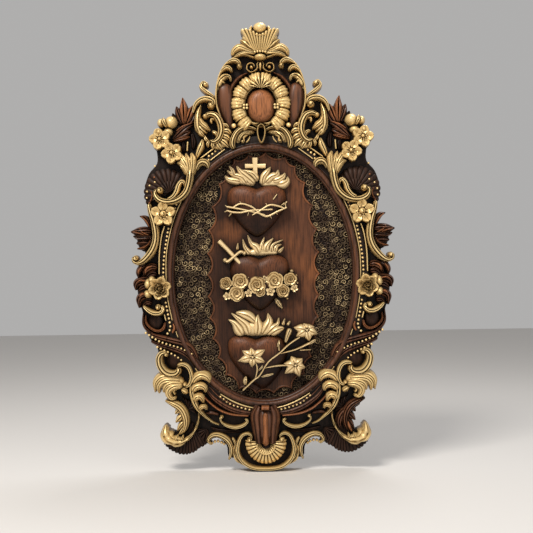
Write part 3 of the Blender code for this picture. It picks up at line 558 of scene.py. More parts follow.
def wood_material(name, deep, middle, high, sheen, gloss=0.42, grain=14.0, wear_and_highlight=0.9, distance=0.010, tint=0.3):
    """Stained wood with an upright grain, lighter on the ridges, partly as wear and partly as painted
    highlight, with painted shade in creases and on side walls.
    """
    made, nodes, links, shader = new_material(name)
    figure = noise(nodes, links, grain, 6, (1.0, 1.0, 0.12))
    pores = noise(nodes, links, grain * 22, 3, (1.0, 1.0, 0.06))
    patch = noise(nodes, links, 22, 3)
    # Wear and painted light: ridges that face the front are lightened towards the high colour, while creases
    # and side walls stay darker as painted shade.
    proud = math_node(nodes, links, "MULTIPLY", math_node(nodes, links, "POWER", shade_of(nodes), 1.5),
                      facing(nodes, links))
    # How unevenly patches vary the wear and painted highlight.
    uneven = math_node(nodes, links, "ADD", math_node(nodes, links, "MULTIPLY", patch, wear_and_highlight), 0.5 - wear_and_highlight / 4)
    wear_and_painted_light = math_node(nodes, links, "MULTIPLY", proud, uneven)
    base = ramp(nodes, links, figure, ((0.32, deep), (0.5, middle), (0.68, tuple(1.6 * c for c in middle))))
    warm = mix(nodes, links, ramp(nodes, links, patch, ((0.45, (0, 0, 0)), (0.75, (tint, tint, tint)))),
               base, tuple(0.6 * c for c in high))
    shown = mix(nodes, links, wear_and_painted_light, warm, high)
    streaked = mix(nodes, links, ramp(nodes, links, pores, ((0.42, (0, 0, 0)), (0.72, (0.8, 0.8, 0.8)))),
                   shown, tuple(0.5 * c for c in deep))
    # Painted shade: crevices darkened towards a near-black of the deep colour.
    dark = mix(nodes, links, painted_crevice_shade(nodes, links, distance), tuple(0.12 * c for c in deep), streaked)
    links.new(dark, shader.inputs["Base Color"])
    links.new(math_node(nodes, links, "ADD", math_node(nodes, links, "MULTIPLY", pores, 0.25), gloss - 0.1),
              shader.inputs["Roughness"])
    shader.inputs["Specular IOR Level"].default_value = sheen
    add_bump(nodes, links, shader, pores, 0.3, 0.0006)
    return made


GOLD = gilding_material("gilding")
DARK = wood_material("dark_wood", (0.008, 0.0045, 0.003), (0.016, 0.008, 0.005), (0.048, 0.019, 0.0095),
                     gloss=0.5, sheen=0.16)
BROWN = wood_material("brown_wood", (0.018, 0.0075, 0.0045), (0.040, 0.0175, 0.0105), (0.17, 0.066, 0.031),
                      gloss=0.36, sheen=0.25)
COPPER = wood_material("rubbed_wood", (0.05, 0.017, 0.007), (0.12, 0.043, 0.017), (0.37, 0.135, 0.048),
                       grain=45, sheen=0.25)
PLANK = wood_material("field_wood", (0.021, 0.0078, 0.0038), (0.063, 0.0235, 0.0108), (0.36, 0.125, 0.043),
                      grain=26, sheen=0.2, distance=0.026, tint=0.85)
HEARTWOOD = wood_material("heart_wood", (0.008, 0.003, 0.0015), (0.027, 0.0098, 0.0048), (0.26, 0.09, 0.036),
                          grain=40, wear_and_highlight=1.3, sheen=0.18, distance=0.014, tint=0.25)
PALE_GOLD = gilding_material("pale_gilding", (0.62, 0.43, 0.19), (0.83, 0.63, 0.34), 0.15)


# The frame's board and mouldings

SILHOUETTE = ((0, 333), (12, 325), (24, 326), (24, 309), (34, 298), (46, 283), (54, 266), (57, 250),
              (60, 238), (76, 236), (89, 226), (100, 224), (114, 212), (130, 208), (137, 196), (145, 184),
              (141, 168), (141, 152), (152, 138), (158, 117), (155, 96), (149, 82), (151, 66), (165, 58),
              (164, 42), (158, 31), (166, 19), (167, 4), (170, -10), (168, -32), (163, -48), (163, -63),
              (154, -83), (144, -96), (142, -120), (137, -131), (144, -146), (130, -157), (124, -174),
              (116, -186), (116, -208), (132, -206), (138, -218), (122, -234), (104, -236), (85, -226),
              (66, -218), (53, -228), (50, -244), (36, -246), (22, -257), (0, -260))


def flat_board(name, outlines, face, bevel, material, node):
    """A flat board from the back to a face, its edges eased, from outlines, the inner ones as holes."""
    curve = bpy.data.curves.new(name, "CURVE")
    curve.dimensions = "2D"
    curve.fill_mode = "BOTH"
    curve.extrude = face / 2000 - bevel / 1000
    curve.bevel_depth = bevel / 1000
    curve.bevel_resolution = 2
    curve.offset = -bevel / 1000
    for outline in outlines:
        line = curve.splines.new("POLY")
        line.points.add(len(outline) - 1)
        line.use_cyclic_u = True
        for point, (u, v) in zip(line.points, outline):
            point.co = (u / 1000, v / 1000, 0.0, 1.0)
    drawn = bpy.data.objects.new(name + "_outline", curve)
    bpy.context.scene.collection.objects.link(drawn)
    drawn.rotation_euler.x = math.radians(90)
    drawn.location.y = -face / 2000
    bpy.context.view_layer.update()
    mesh = bpy.data.meshes.new_from_object(drawn.evaluated_get(bpy.context.evaluated_depsgraph_get()))
    mesh.transform(drawn.matrix_world)
    bpy.data.objects.remove(drawn)
    made = bpy.data.objects.new(name, mesh)
    bpy.context.scene.collection.objects.link(made)
    mesh.shade_smooth()
    mesh.set_sharp_from_angle(angle=math.radians(40))
    mesh.materials.clear()
    mesh.materials.append(material)
    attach(made, "root")
    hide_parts(node)
    return made


outline = spline(list(SILHOUETTE) + mirrored(SILHOUETTE)[-2:0:-1], loop=True, step=4.0)
oval_angles = np.linspace(0, 2 * math.pi, 160, endpoint=False)
board = flat_board("frame_board", (outline, oval(REBATE, oval_angles)), GROUND, 0.8, DARK, "frame")

moulding = Carving()
oval_ring(moulding, ((0, 8.3, 0), (0, 18.5, 0.1), (0.6, 21, 0.3), (1.6, 22.3, 0.5), (2.4, 22.6, 0.1),
                     (3, 24.6, 0.5), (4.2, 26.6, 0.9), (5.8, 27.5, 0.7), (7.4, 27.2, 0.45),
                     (8.8, 25.8, 0.3), (9.8, 24, 0.15), (10.4, 22.6, 0), (11.4, 22.4, 0.1), (11.4, 12, 0),
                     (7, 12, 0), (6.2, 8.3, 0)))
moulding.build("frame_moulding", BROWN, "frame")

bed = Carving()
oval_ring(bed, ((10.8, 9, 0), (10.8, 21.6, 0), (19.6, 21.6, 0), (20.4, 21.2, 0.1), (21, 20, 0), (21, 9, 0)))
bed.build("frame_bed", DARK, "frame")


def carve_oval(gold, dark, brown, copper):
    """The gilt lines and the beads on the bed, and the bands below."""
    line = level(0.2, BED)
    for path in (((108, 101), (118, 78), (124.5, 55), (129, 30), (129.8, 0), (128, -30), (122.5, -59)),
                 ((131, 68), (135.5, 53), (138.6, 30), (139.3, 3)),
                 ((82, 157), (63, 171)),
                 ((69, 154), (49, 169)),
                 ((99.5, 167), (98.5, 180)),
                 ((133.5, -50), (131, -59)),
                 ((118, -73), (115, -82)),
                 ((93, -123), (89, -128)),
                 ((63, -152), (60, -155))):
        both(gold, [(*p, 2.0) for p in path], line, foot=BED - 1)
    both(gold, ((60, -158, 2), (45, -167, 2.6), (30, -173.5, 2.6), (15, -177.5, 2)), line, foot=BED - 1)
    for path in (((115, 96), (117, 90)),
                 ((126, 64), (130, 42), (133, 20), (134, -2)),
                 ((131, -35), (128.5, -50), (126.5, -60), (125.5, -70), (130.5, -78)),
                 ((66, 163), (71, 160)),
                 ((60, -162), (46, -172), (30, -177.5), (18, -180.5))):
        bead_row(gold, path, BED - 0.3)
    both_beads(gold, ((62, 166.5), (71, 155)), 1.6, BED)
    both(copper, ((84, -158, 2.5), (77, -167, 3), (62, -179, 3.4), (45, -185.5, 3.4), (22, -188, 3)),
         level(0.3, BED), foot=BED - 4)
    both(brown, ((78, -153, 4), (69, -164, 7), (52, -176, 9), (34, -183, 9), (18, -185, 6)),
         level(0.12, BED), foot=BED - 4, ribs=2)
    both(brown, ((75, -148, 2.5), (60, -163, 3), (40, -173, 3), (16, -180, 2.5)), level(0.1, BED),
         foot=BED - 4)


def carve_crest(gold, dark, brown, copper):
    """The finial, the cartouche with its rim, the ring of shells and the boss."""
    dome(gold, 0, 329.5, 10, level(1.0), tall=8.5, free=True)
    for k, (u, v) in enumerate(((0, 322), (4.6, 323.5), (9.4, 326), (14.6, 328.5), (19.8, 329.5),
                                (24.6, 328.5))):
        flute = ((1.3 * k, 298, 3.6), (2.6 * k, 307, 5), (0.2 * k + 0.72 * u, 0.45 * 307 + 0.55 * v, 6),
                 (u, v, 6.6))
        if k:
            both(gold, flute, level(0.86), free=True)
        else:
            sweep(gold, flute, level(0.86), free=True)
    both(gold, ((3, 300, 8), (6, 310, 14), (11, 320, 12)), level(0.66), free=True)
    both(gold, ((8, 301, 8), (14, 311, 16), (21, 323, 10)), level(0.66), free=True)
    both(gold, ((7, 300, 5), (14, 304.5, 8), (20, 310, 9), (26.5, 315, 3)), level(0.74), ribs=3,
         groove=0.15, free=True)
    both(gold, ((6, 297.5, 5), (18, 301, 10), (27, 304, 13), (34.5, 300, 10), (37.5, 293.5, 4)),
         level(0.78), ribs=4, groove=0.15, free=True)
    both(gold, ((6, 296, 4), (17, 297.5, 6), (28, 295.5, 5), (35, 292.5, 2)), level(0.7), ribs=2, free=True)
    both(gold, ((10, 322, 3), (12.5, 328, 5), (10.5, 333, 3)), level(0.75), free=True)
    dome(gold, 0, 291.5, 8.5, level(0.85), tall=4.5)
    both_beads(gold, ((0.1, 298), (3.6, 298), (7, 297.4)), 1.7, level(0.62))
    sweep(gold, across_middle(((-9, 320.5, 2.5), (-5, 319, 2.5), (0, 318.5, 2.5))), level(0.86),
          foot=level(0.3))
    both(gold, ((8, 291, 2.4), (23, 295, 2.8), (38, 289, 3.2), (49, 279, 3.6), (56, 264, 3.6),
                (59.5, 245, 3.6), (59, 228, 3.4), (54, 212, 2.8)), level(0.6), free=True)
    both(gold, ((49, 280.5, 3), (41, 286, 5.5), (34, 287.5, 7), (28.5, 284.5, 6.5), (28, 280, 4)),
         level(0.75), ribs=2)
    both_domes(gold, 28, 279.5, 3.6, level(0.78), swirl=1.5)
    both(gold, ((55, 268, 3), (50.5, 275, 5.5), (44, 278, 7), (39.5, 275, 6), (39, 271.5, 3)), level(0.75),
         ribs=2)
    both(gold, ((58.5, 247, 4), (55.5, 258, 8), (48, 266, 9), (41.5, 265.5, 7), (39.5, 259, 2)),
         level(0.75), ribs=2, lobes=2)
    both(gold, ((56, 252, 5), (52, 259, 6), (47.5, 256.5, 2)), level(0.7))
    both(brown, ((50, 258, 10), (48.5, 251, 20), (46.8, 238, 24), (45.5, 223, 22), (43.5, 209, 15),
                 (39, 195, 3)), level(0.6), flat=3.4)
    both(brown, ((46, 197, 2.5), (53, 212, 3), (56.5, 228, 3), (56.5, 243, 3), (54, 256, 2)), level(0.45))
    both(brown, ((38, 199, 3), (42, 212, 6), (43, 226, 7), (42, 241, 7), (37, 254, 7), (28, 264.5, 6.5),
                 (17, 271, 3)), level(0.5), flat=1.8)
    wound = ((150, 8.5), (180, 8), (210, 7.6), (270, 7.2), (330, 6.8), (30, 6), (80, 5), (130, 4.5), (180, 4))
    wire = [(12 + r * math.cos(math.radians(a)), 279 + r * math.sin(math.radians(a)), 1.9) for a, r in wound]
    both(gold, wire, level(0.42))
    both_domes(gold, 12, 278.8, 2.3, level(0.45))
    sweep(gold, ((0, 286, 1.5), (0, 281, 4.4), (0, 274, 1.5)), level(0.5))
    both(gold, ((3, 286, 1.2), (4.2, 281, 1.6), (2.6, 276.5, 1.2)), level(0.4))
    ruffle(gold, (0, 227), (21, 26), (38.8, 42), -58, 238, 12, level(0.92))
    crown = ((-17, 252), (-16.5, 259), (-10.5, 266), (-3.8, 269.5), (3.8, 269.5), (10.5, 266), (16.5, 259),
             (17, 252))
    fan(gold, (0, 248), crown, level(1.0), hub_share=0.8, groove=0.92, edge_share=0.7)
    ring = [(22.4 * math.cos(t), 225 + 27.4 * math.sin(t), 1.8)
            for t in np.linspace(0, 2 * math.pi, 24)[:-1]]
    sweep(gold, ring, level(0.7), loop=True)
    dome(copper, 0, 225, 20.2, level(1.0), tall=25.2, flat=5.0)
    for du, dv in ((-1.9, 1.9), (1.9, 1.9), (-1.9, -1.9), (1.9, -1.9)):
        both_beads(gold, ((20.4 + du, 224 + dv),), 1.9, level(0.85))
    both_beads(gold, ((36.5, 199.5),), 3.2, level(0.6))


def carve_shoulders(gold, dark, brown, copper):
    """The scrolls and leaves beside the crest, and the arches under it."""
    both(gold, ((59, 237, 4), (68, 243, 6), (76, 249, 6.5), (80, 254, 5.5), (77, 259.5, 4.5),
                (72.5, 258, 4)), level(0.55), ribs=2, free=True)
    both_domes(gold, 74, 256, 4.2, level(0.6), swirl=1.5, free=True)
    both(gold, ((91.5, 217, 3.5), (87.5, 229, 6.5), (80, 235.5, 8), (71, 236.5, 9), (63.5, 233, 8),
                (62.5, 227, 6)), level(0.8), ribs=2, free=True)
    both_domes(gold, 66.5, 227.5, 5.2, level(0.9), swirl=1.6)
    for share, ribs, path in (
            (0.74, 4, ((84, 213, 8), (80.5, 204, 11), (75, 199, 11), (68, 194.5, 2))),
            (0.76, 3, ((84, 202, 8), (79, 195, 9), (72.5, 190.5, 2))),
            (0.74, 2, ((84, 196, 7), (80, 190, 8), (75.5, 186, 2))),
            (0.84, 3, ((80, 229, 1.5), (83.5, 219, 7), (84.8, 208, 10), (84, 197, 10), (79, 187, 5)))):
        both(gold, path, level(share), ribs=ribs, groove=0.16)
    both(gold, ((75, 213, 7), (68, 216, 8), (60, 213, 10), (54.5, 204, 11), (53, 193, 11), (56.5, 183, 10),
                (63, 178.5, 8), (69, 181, 5)), level(0.9), ribs=3)
    both_domes(gold, 74.5, 213, 3.6, level(0.88))
    both(gold, ((58, 184, 4), (60, 190, 6), (66, 193, 4)), level(0.7), ribs=2)
    both(gold, ((61, 209, 3), (66.5, 208.5, 4), (66, 203.5, 3.5)), level(0.7))
    both(gold, ((87.5, 157, 4), (84, 166, 8), (80, 175, 9), (78.5, 183, 3)), level(0.7), ribs=2, groove=0.2)
    both(gold, ((70, 180, 3), (74, 182, 6), (76, 188, 3)), level(0.6), ribs=2)
    both(gold, ((50, 196, 10), (47, 188, 13), (49, 180, 14), (57, 174, 13), (67, 174, 8)), level(0.5))
    for k, lobe in enumerate((((53, 200, 6), (47, 200.5, 7), (43, 196, 3)),
                              ((53, 193, 7), (45, 193, 9), (39.5, 188, 3)),
                              ((54, 187, 7), (47, 185, 10), (40, 179.5, 3)),
                              ((56, 182, 7), (49.5, 177.5, 10), (43, 171, 3)),
                              ((60, 179.5, 6), (56.5, 173.5, 9), (52.5, 168, 3)),
                              ((65, 179, 5), (65, 173.5, 7), (63, 169, 3)),
                              ((69, 181, 4), (71.5, 176, 6), (71, 171.5, 2)))):
        both(gold, lobe, level(0.72 + 0.03 * (k % 2)), ribs=2, groove=0.2)
    for share, ribs, path in (
            (0.85, 3, ((5, 194, 3), (13, 197.5, 5), (22, 197.5, 7), (31, 193, 8), (37, 184, 9),
                       (39, 175, 9), (36.5, 168.5, 6))),
            (0.45, 1, ((9, 192, 5), (20, 191.5, 11), (29, 186, 13), (33, 176, 9))),
            (0.7, 2, ((11, 190, 2), (20, 191.5, 4), (28, 185.5, 6), (31, 178, 4))),
            (0.6, 1, ((18, 187.5, 2), (23.5, 184.5, 4), (23, 178, 3)))):
        both(gold, path, level(share), ribs=ribs)
    both_domes(gold, 25, 179, 3, level(0.65), swirl=1.4)
    both(gold, ((15, 186.5, 2), (17, 181, 3), (21, 177, 3)), level(0.45))
    loop = [(4.8 * math.sin(t) * (1 - 0.25 * math.cos(t)), 188.5 - 12 * math.cos(t), 2.4)
            for t in np.linspace(0, 2 * math.pi, 14)[:-1]]
    sweep(gold, loop, level(0.95), loop=True)
    both(gold, ((2, 203, 2), (8, 201.5, 4), (14, 204, 3)), level(0.85))


def carve_flowers(gold, dark, brown, copper):
    """The flowers and leaves on the upper corners, the plumes and the fluted lobes below them."""
    for wood, share, leaf in (
            (dark, 0.35, ((106, 203, 4), (112, 209, 8), (117, 214, 7), (118.5, 219, 2))),
            (brown, 0.45, ((105, 203, 5), (108.5, 212, 9), (111.5, 221, 9), (113.5, 228, 2))),
            (brown, 0.45, ((100, 202, 6), (94.5, 207, 10), (91, 213, 9), (89, 219, 2))),
            (copper, 0.52, ((101, 203, 6), (97, 212, 12), (93.5, 221, 12), (90, 229, 3))),
            (copper, 0.6, ((103, 202, 5), (103, 212, 10), (103.5, 223, 13), (104, 232, 8), (105, 239.5, 1.5))),
            (dark, 0.35, ((117, 190, 5), (112.5, 197, 8), (110, 203, 3))),
            (brown, 0.42, ((119, 184, 4), (108, 188, 10), (100, 192, 10), (94, 194, 2))),
            (copper, 0.42, ((119, 181, 3), (110, 183.5, 7), (102, 185.5, 6), (96, 187, 2))),
            (brown, 0.52, ((119, 183, 3), (111, 190, 10), (103, 197, 11), (96, 201.5, 7), (90.5, 203.5, 2)))):
        both(wood, leaf, level(share), ribs=2, groove=0.4, free=True)
    both(copper, ((114, 194, 2), (105, 200, 3.5), (92, 205, 2)), level(0.5), foot=level(0.2))
    both(dark, ((105, 166, 5), (104, 174, 7), (106, 182, 4)), level(0.2), ribs=2)
    both(dark, ((92, 170, 5), (91, 180, 8), (93, 192, 5)), level(0.25), ribs=2)
    both_domes(gold, 124.5, 193.5, 6.5, level(0.62), tall=5.5, free=True)
    both_domes(gold, 137, 193.5, 5.2, level(0.66), tall=5, free=True)
    both_domes(gold, 134.5, 205.5, 4.8, level(0.68), tall=6.2, free=True)
    both_domes(gold, 120.5, 206, 9, level(0.84), tall=8.6, free=True)
    both(gold, ((131, 212.5, 3), (129.5, 206, 7), (126, 199, 4)), level(0.86), ribs=2, groove=0.2, free=True)
    for side in (1, -1):
        flower(gold, side * 135.5, 183.5, 13.8, level(0.78), turn=90 - side * 15, free=True, centre=0.24,
               wide=0.45)
        flower(gold, side * 119.5, 164.5, 13.6, level(0.88), turn=90 - side * 25, wide=0.45)
    both(gold, ((105, 157, 18), (99, 149, 20), (96, 140, 15), (95, 132, 11)), level(0.7))
    for k, plume in enumerate((((114, 152, 2), (107, 150.5, 10), (101, 144, 13), (97, 134, 10)),
                               ((110.5, 166, 2), (106.5, 158, 10), (101, 149, 14), (97, 136, 10)),
                               ((101.5, 164.5, 2), (99, 156, 10), (97, 146, 13), (96, 134, 10)),
                               ((94, 165, 3), (91.8, 157, 10), (92, 146, 12), (94, 134, 9)))):
        both(gold, plume, level(0.82 + 0.03 * k), ribs=4, groove=0.14)
    both(gold, ((95, 146, 6), (95.5, 136, 11), (97, 125, 11), (101, 113, 11), (109, 104.5, 10.5),
                (119, 100, 10), (130, 99.5, 10), (139, 103.5, 9), (143, 110.5, 7), (140.5, 117, 6)),
         level(0.95), ribs=3)
    both(gold, ((103.5, 119, 4), (103, 123.5, 6), (107, 126.5, 7), (111.5, 121, 8), (114, 113, 8.5),
                (119, 106, 8), (127, 102, 6)), level(0.86), ribs=2)
    both_domes(gold, 136.5, 114.8, 5, level(0.97), swirl=1.5)
    both(gold, ((88, 141, 5), (84.5, 149, 9), (78.5, 152, 11), (72.5, 149, 9.5), (71, 142, 3)), level(0.85),
         ribs=3, groove=0.2)
    both_fans(dark, (124, 111), arc((128, 112), (31, 33), range(-25, 156, 15)), level(0.35), groove=0.95,
              valley=0.14)
    both_fans(dark, (124, 112), arc((124, 112), (17, 18), range(0, 160, 20)), level(0.45), groove=0.95,
              valley=0.14)
    for spot in ((143, 148), (144, 133), (143.5, 126.5), (150.5, 122), (154, 114), (154.5, 105.5),
                 (151, 99)):
        both_beads(copper if spot[1] in (133, 99) else gold, (spot,), 1.4, level(0.3))
    both(copper, ((150, 100, 3), (147, 108, 3), (149, 116, 2)), level(0.4))


def carve_sides(gold, dark, brown, copper):
    """The flower, the long scroll, the leaves, the rose and the loops half way down."""
    for side in (1, -1):
        flower(gold, side * 132.5, 83.5, 16, level(0.9), centre=0.32, wide=0.42)
    both(gold, ((152, 98, 6), (150, 87, 8), (146, 75, 9.5), (143.3, 62, 10.5), (143, 50, 10.5),
                (146, 39, 11), (152, 29.5, 11), (160, 21.5, 9.5), (167, 18.5, 7), (173.5, 21, 5),
                (174, 27, 4)), level(0.8), ribs=3, free=True)
    both_domes(gold, 170.5, 24.8, 4.2, level(0.75), swirl=1.5, free=True)
    both(dark, ((147, 12, 10), (156, 2, 18), (159, -14, 20), (158, -30, 18), (155, -42, 8)), level(0.2),
         free=True)
    both(dark, ((150, 62, 8), (158, 54, 20), (160, 44, 16), (156, 34, 8)), level(0.2), free=True)
    for leaf, share, ribs in ((((149, 62, 5), (152, 71, 8), (157, 78.5, 8), (165, 81.5, 1.5)), 0.5, 2),
                              (((150, 45, 8), (160, 46, 12), (170, 45, 3)), 0.28, 3),
                              (((149, 52, 4), (152.5, 44, 6), (159, 39, 6.5), (169, 37.5, 1.5)), 0.42, 2),
                              (((147, 53, 5), (157, 53, 8), (168, 52.5, 6), (174, 55, 2)), 0.46, 2),
                              (((147, 60, 8), (156, 60.5, 14), (167, 60, 13), (177, 60.5, 2)), 0.6, 4),
                              (((142, 3, 8), (150, 4, 12), (158, -2, 4)), 0.36, 2),
                              (((141, 11, 8), (149, 12.5, 13), (156.5, 8.5, 13), (160.5, 0, 3)), 0.58, 4),
                              (((156, 16, 5), (163, 13, 9), (167.5, 6, 8), (167.5, -2, 2)), 0.48, 2),
                              (((154, -13, 8), (162, -14, 10), (169, -20, 2)), 0.36, 2),
                              (((153, -4, 8), (162, -5, 12), (170, -9, 11), (171.5, -18, 2)), 0.5, 3),
                              (((150, -36, 7), (157, -35, 8), (163, -41, 2)), 0.36, 2),
                              (((152, -25, 8), (160, -25, 12), (166.5, -30, 11), (167, -42, 2)), 0.5, 3)):
        both(brown, leaf, level(share), ribs=ribs, groove=0.4, free=True)
    both(copper, ((150.5, 49, 1.5), (153.5, 43, 2.5), (160, 39, 2.5), (168, 38.5, 1.5)), level(0.47),
         free=True)
    for vein in (((151, 66, 2), (155, 74, 3), (162, 80.5, 1.5)),
                 ((152, 55.5, 2), (160, 59, 2.5), (165, 65, 1.2)),
                 ((158, 56, 2), (166, 58.5, 2.5), (174, 60.5, 1.2)),
                 ((162, 14, 2), (166, 8, 4), (167, 3, 1.5)),
                 ((147, 14.5, 2), (155, 11.5, 4.5), (158, 4, 2)),
                 ((157, -6, 2), (164, -4.5, 3), (170, -8, 1.2)),
                 ((158, -23.5, 3), (162, -23, 4), (166, -27, 1.5))):
        both(copper, vein, level(0.63), foot=level(0.25))
    for side in (1, -1):
        for u, v, radius, tall in ((154.5, -9.5, 5.4, 7.4), (155, -23, 5.6, 5.8), (149.5, -4, 4.6, 5)):
            dome(gold, side * u, v, radius, level(0.72), tall=tall, free=True)
        flower(gold, side * 138.5, -15.5, 14.6, level(0.8), petals=6, turn=90 + 14 * side, wide=0.44)
        rose(gold, side * 138.5, -15.5, 10.5, level(1.02), turn=side * 0.8)
    both(gold, ((161, -38.5, 3), (155.5, -44, 6), (147.5, -48.5, 7.5), (139, -48.5, 7.5),
                (134.5, -43.5, 5.5), (137, -38.8, 4)), level(0.88), ribs=2)
    both_domes(gold, 141, -41, 4.3, level(0.9), swirl=1.4)
    both(copper, ((158, -51, 2.5), (158, -61, 3.5), (151, -69.5, 4), (141.5, -73, 4.5), (134.5, -69, 5),
                  (132.5, -61, 3)), level(0.5), ribs=2)
    both(brown, ((161.5, -47, 2.5), (162, -62, 4), (157, -71, 5), (148, -77, 4)), level(0.4), ribs=2,
         free=True)
    both(copper, ((121.5, -63, 2.5), (119.8, -69, 4), (123, -76, 3)), level(0.3, BED), foot=BED)
    both_domes(dark, 145, -60, 11, level(0.3), tall=13)


def carve_straps(gold, dark, brown, copper):
    """The crossing straps with their beads, and the paired scrolls and acanthus under them."""
    both(brown, ((157, -75, 5), (141, -81, 9), (122, -86, 10), (108, -90, 10), (97, -98, 8), (90, -112, 6)),
         level(0.52), ribs=2, free=True)
    both(brown, ((152, -86, 5), (138, -92, 8), (122, -97, 9), (108, -103, 9), (97, -114, 7), (88, -128, 4)),
         level(0.46), ribs=2, free=True)
    both(copper, ((106, -98, 2.5), (98, -106, 3.5), (92, -118, 3.5), (86, -127, 2)), level(0.5),
         foot=level(0.2))
    for path in (((158, -75), (149, -81), (141, -86), (131, -90), (112, -96), (95, -105)),
                 ((143, -94), (133, -99), (119, -106), (108, -114.5))):
        bead_row(gold, path, level(0.47), pitch=5.2, radius=1.7, wane=0.25)
    both(gold, ((130, -101.5, 5), (137, -102.5, 8.5), (141, -109, 10.5), (139.5, -119, 11.5),
                (134, -127, 12), (127, -130.5, 11.5), (119, -130, 10), (115, -125.5, 9), (116.5, -121, 6)),
         level(0.86), ribs=3, free=True)
    both_domes(gold, 131.5, -104.5, 3, level(0.8))
    both(gold, ((117, -119.5, 5), (109.5, -117.5, 6.5), (102.5, -121, 7), (98.5, -129.5, 7), (98, -138, 7),
                (101.5, -145.5, 6), (107.5, -147, 5.5)), level(0.78), ribs=2)
    both_domes(gold, 107, -144.5, 3, level(0.75))
    for k, leaf in enumerate((((114, -135, 6), (126, -133.5, 13), (138, -134.5, 14), (145.5, -142, 11),
                               (147, -155, 2)),
                              ((112, -139, 7), (125, -138, 14), (136, -140, 14), (142, -147, 10),
                               (141.5, -156.5, 2)),
                              ((110, -143.5, 7), (122, -142.5, 13), (131.5, -146, 13), (136, -155.5, 3)))):
        both(gold, leaf, level(0.74 + 0.03 * k), ribs=4, groove=0.14, free=True)
    both(gold, ((109, -146, 8), (120, -146, 14), (128, -151, 13), (128.5, -158, 11), (124, -163, 8),
                (118.5, -160.5, 5)), level(0.88), ribs=4, groove=0.14, free=True)
    both(gold, ((108, -143, 12), (122, -141, 22), (134, -143, 20), (140, -149, 8)), level(0.6), free=True)
    both(gold, ((119, -150, 3), (122, -154, 4), (119.5, -158, 3)), level(0.7))
    both(gold, ((113, -151, 6), (108, -152.5, 10), (103, -156.5, 9)), level(0.74), ribs=3, groove=0.14)
    both_domes(dark, 118, -112, 15, level(0.18), tall=13)


def carve_feet(gold, dark, brown, copper):
    """The leaves and fluted feet at the lower corners, and the leafy stem inside them."""
    leaves = ((((112, -176, 8), (117, -180, 9), (121, -184.5, 2)), 0.6, 2),
              (((109, -184, 8), (115, -190, 10), (120.5, -196, 2)), 0.62, 2),
              (((108, -193, 8), (114, -200, 8), (118.5, -207, 2)), 0.6, 2),
              (((108, -200, 7), (113, -208, 6), (117, -213, 1.5)), 0.56, 2),
              (((134, -166, 3), (124, -169.5, 10), (114, -175.5, 12), (108.5, -184, 12), (106.5, -194, 11),
                (108.5, -204, 8), (113, -211, 2)), 0.78, 4))
    for leaf, share, ribs in leaves:
        sweep(gold, mirrored(leaf), level(share), ribs=ribs, groove=0.2, free=True)
        sweep(brown, leaf, level(share - 0.1), ribs=ribs, groove=0.3, free=True)
    sweep(brown, ((127, -173, 4), (113, -179, 11), (102, -188, 14), (98.5, -199, 12), (102, -209, 3)),
          level(0.5), ribs=4, groove=0.3)
    sweep(copper, ((109.5, -196, 2), (111.5, -203, 4.5), (115, -210, 2)), level(0.74), foot=level(0.3))
    both(gold, ((89, -182, 2.6), (89.5, -192, 3.2), (94.5, -206, 4), (103, -216, 6), (112, -220.5, 13),
                (122, -220, 19), (130, -215.5, 21), (133.5, -207, 17), (133, -198, 3)), level(0.85), ribs=3,
         groove=0.16, lobes=5, free=True)
    for tip in (((136, -214, 8), (132, -207, 6), (129, -201, 1.5)),
                ((129, -218, 8), (125.5, -212, 6), (125, -206, 1.5)),
                ((121, -220, 7), (118, -215, 5), (117, -210.5, 1.5)),
                ((113, -220, 6), (111, -215, 4), (110, -211, 1.5))):
        both(gold, tip, level(0.8), ribs=2, groove=0.16, free=True)
    tips = ((80, -226), (84, -229), (89, -231), (93, -234.5), (97, -237), (102, -238.5), (106, -239.5),
            (111, -239.5), (116, -239), (121, -237), (126, -234.5), (130, -232), (134, -228), (137, -225))
    both_fans(dark, (103, -192), tips, level(0.3), groove=0.97, free=True, valley=0.16)
    both_fans(dark, (103, -178), ((112, -160), (107, -164), (102, -166), (97, -170), (94, -176), (92, -186)),
              level(0.22), groove=0.95)
    both_fans(dark, (78, -205), ((96, -205), (95, -212), (92, -218), (87, -223), (80, -225), (72, -224)),
              level(0.28), groove=0.95)
    both(dark, ((97, -196, 3), (101, -205, 5), (107, -212, 3)), level(0.42), ribs=2)
    both(gold, ((97, -140, 7), (98, -151, 9), (96.5, -162, 9), (92.5, -173, 8.5), (86, -182.5, 6),
                (76, -192, 3.2), (69, -197, 2.2), (62, -199.5, 1.8)), level(0.65), ribs=2)
    for curl in (((97, -144, 9), (92.5, -136, 13), (84.5, -132, 14), (76.5, -135.5, 12), (73, -143, 4)),
                 ((97, -155, 9), (93, -148, 13), (86, -146, 13), (80.5, -149.5, 10), (79, -156, 3)),
                 ((94, -168, 8), (92.5, -162, 12), (87.5, -160.5, 12), (84, -164, 9), (82.5, -170, 3)),
                 ((88.5, -179, 6), (85, -174.5, 8), (80.5, -174.5, 7), (78, -179, 3))):
        both(gold, curl, level(0.88), ribs=4, groove=0.14)
    both(gold, ((60, -189, 4), (59.5, -195, 3), (51.5, -201, 4.2), (40, -203.3, 5.2), (29.5, -200.5, 5),
                (24, -195, 4.4), (27.5, -191.5, 3.8)), level(0.62), ribs=2)
    both_domes(gold, 58.5, -189, 2.6, level(0.62), swirl=1.3)
    both(dark, ((74, -204, 4), (60, -208, 6), (42, -209, 6), (28, -208, 4)), level(0.2), ribs=2)
    both(brown, ((83, -186, 3), (73, -184, 6), (62, -186, 4)), level(0.18))


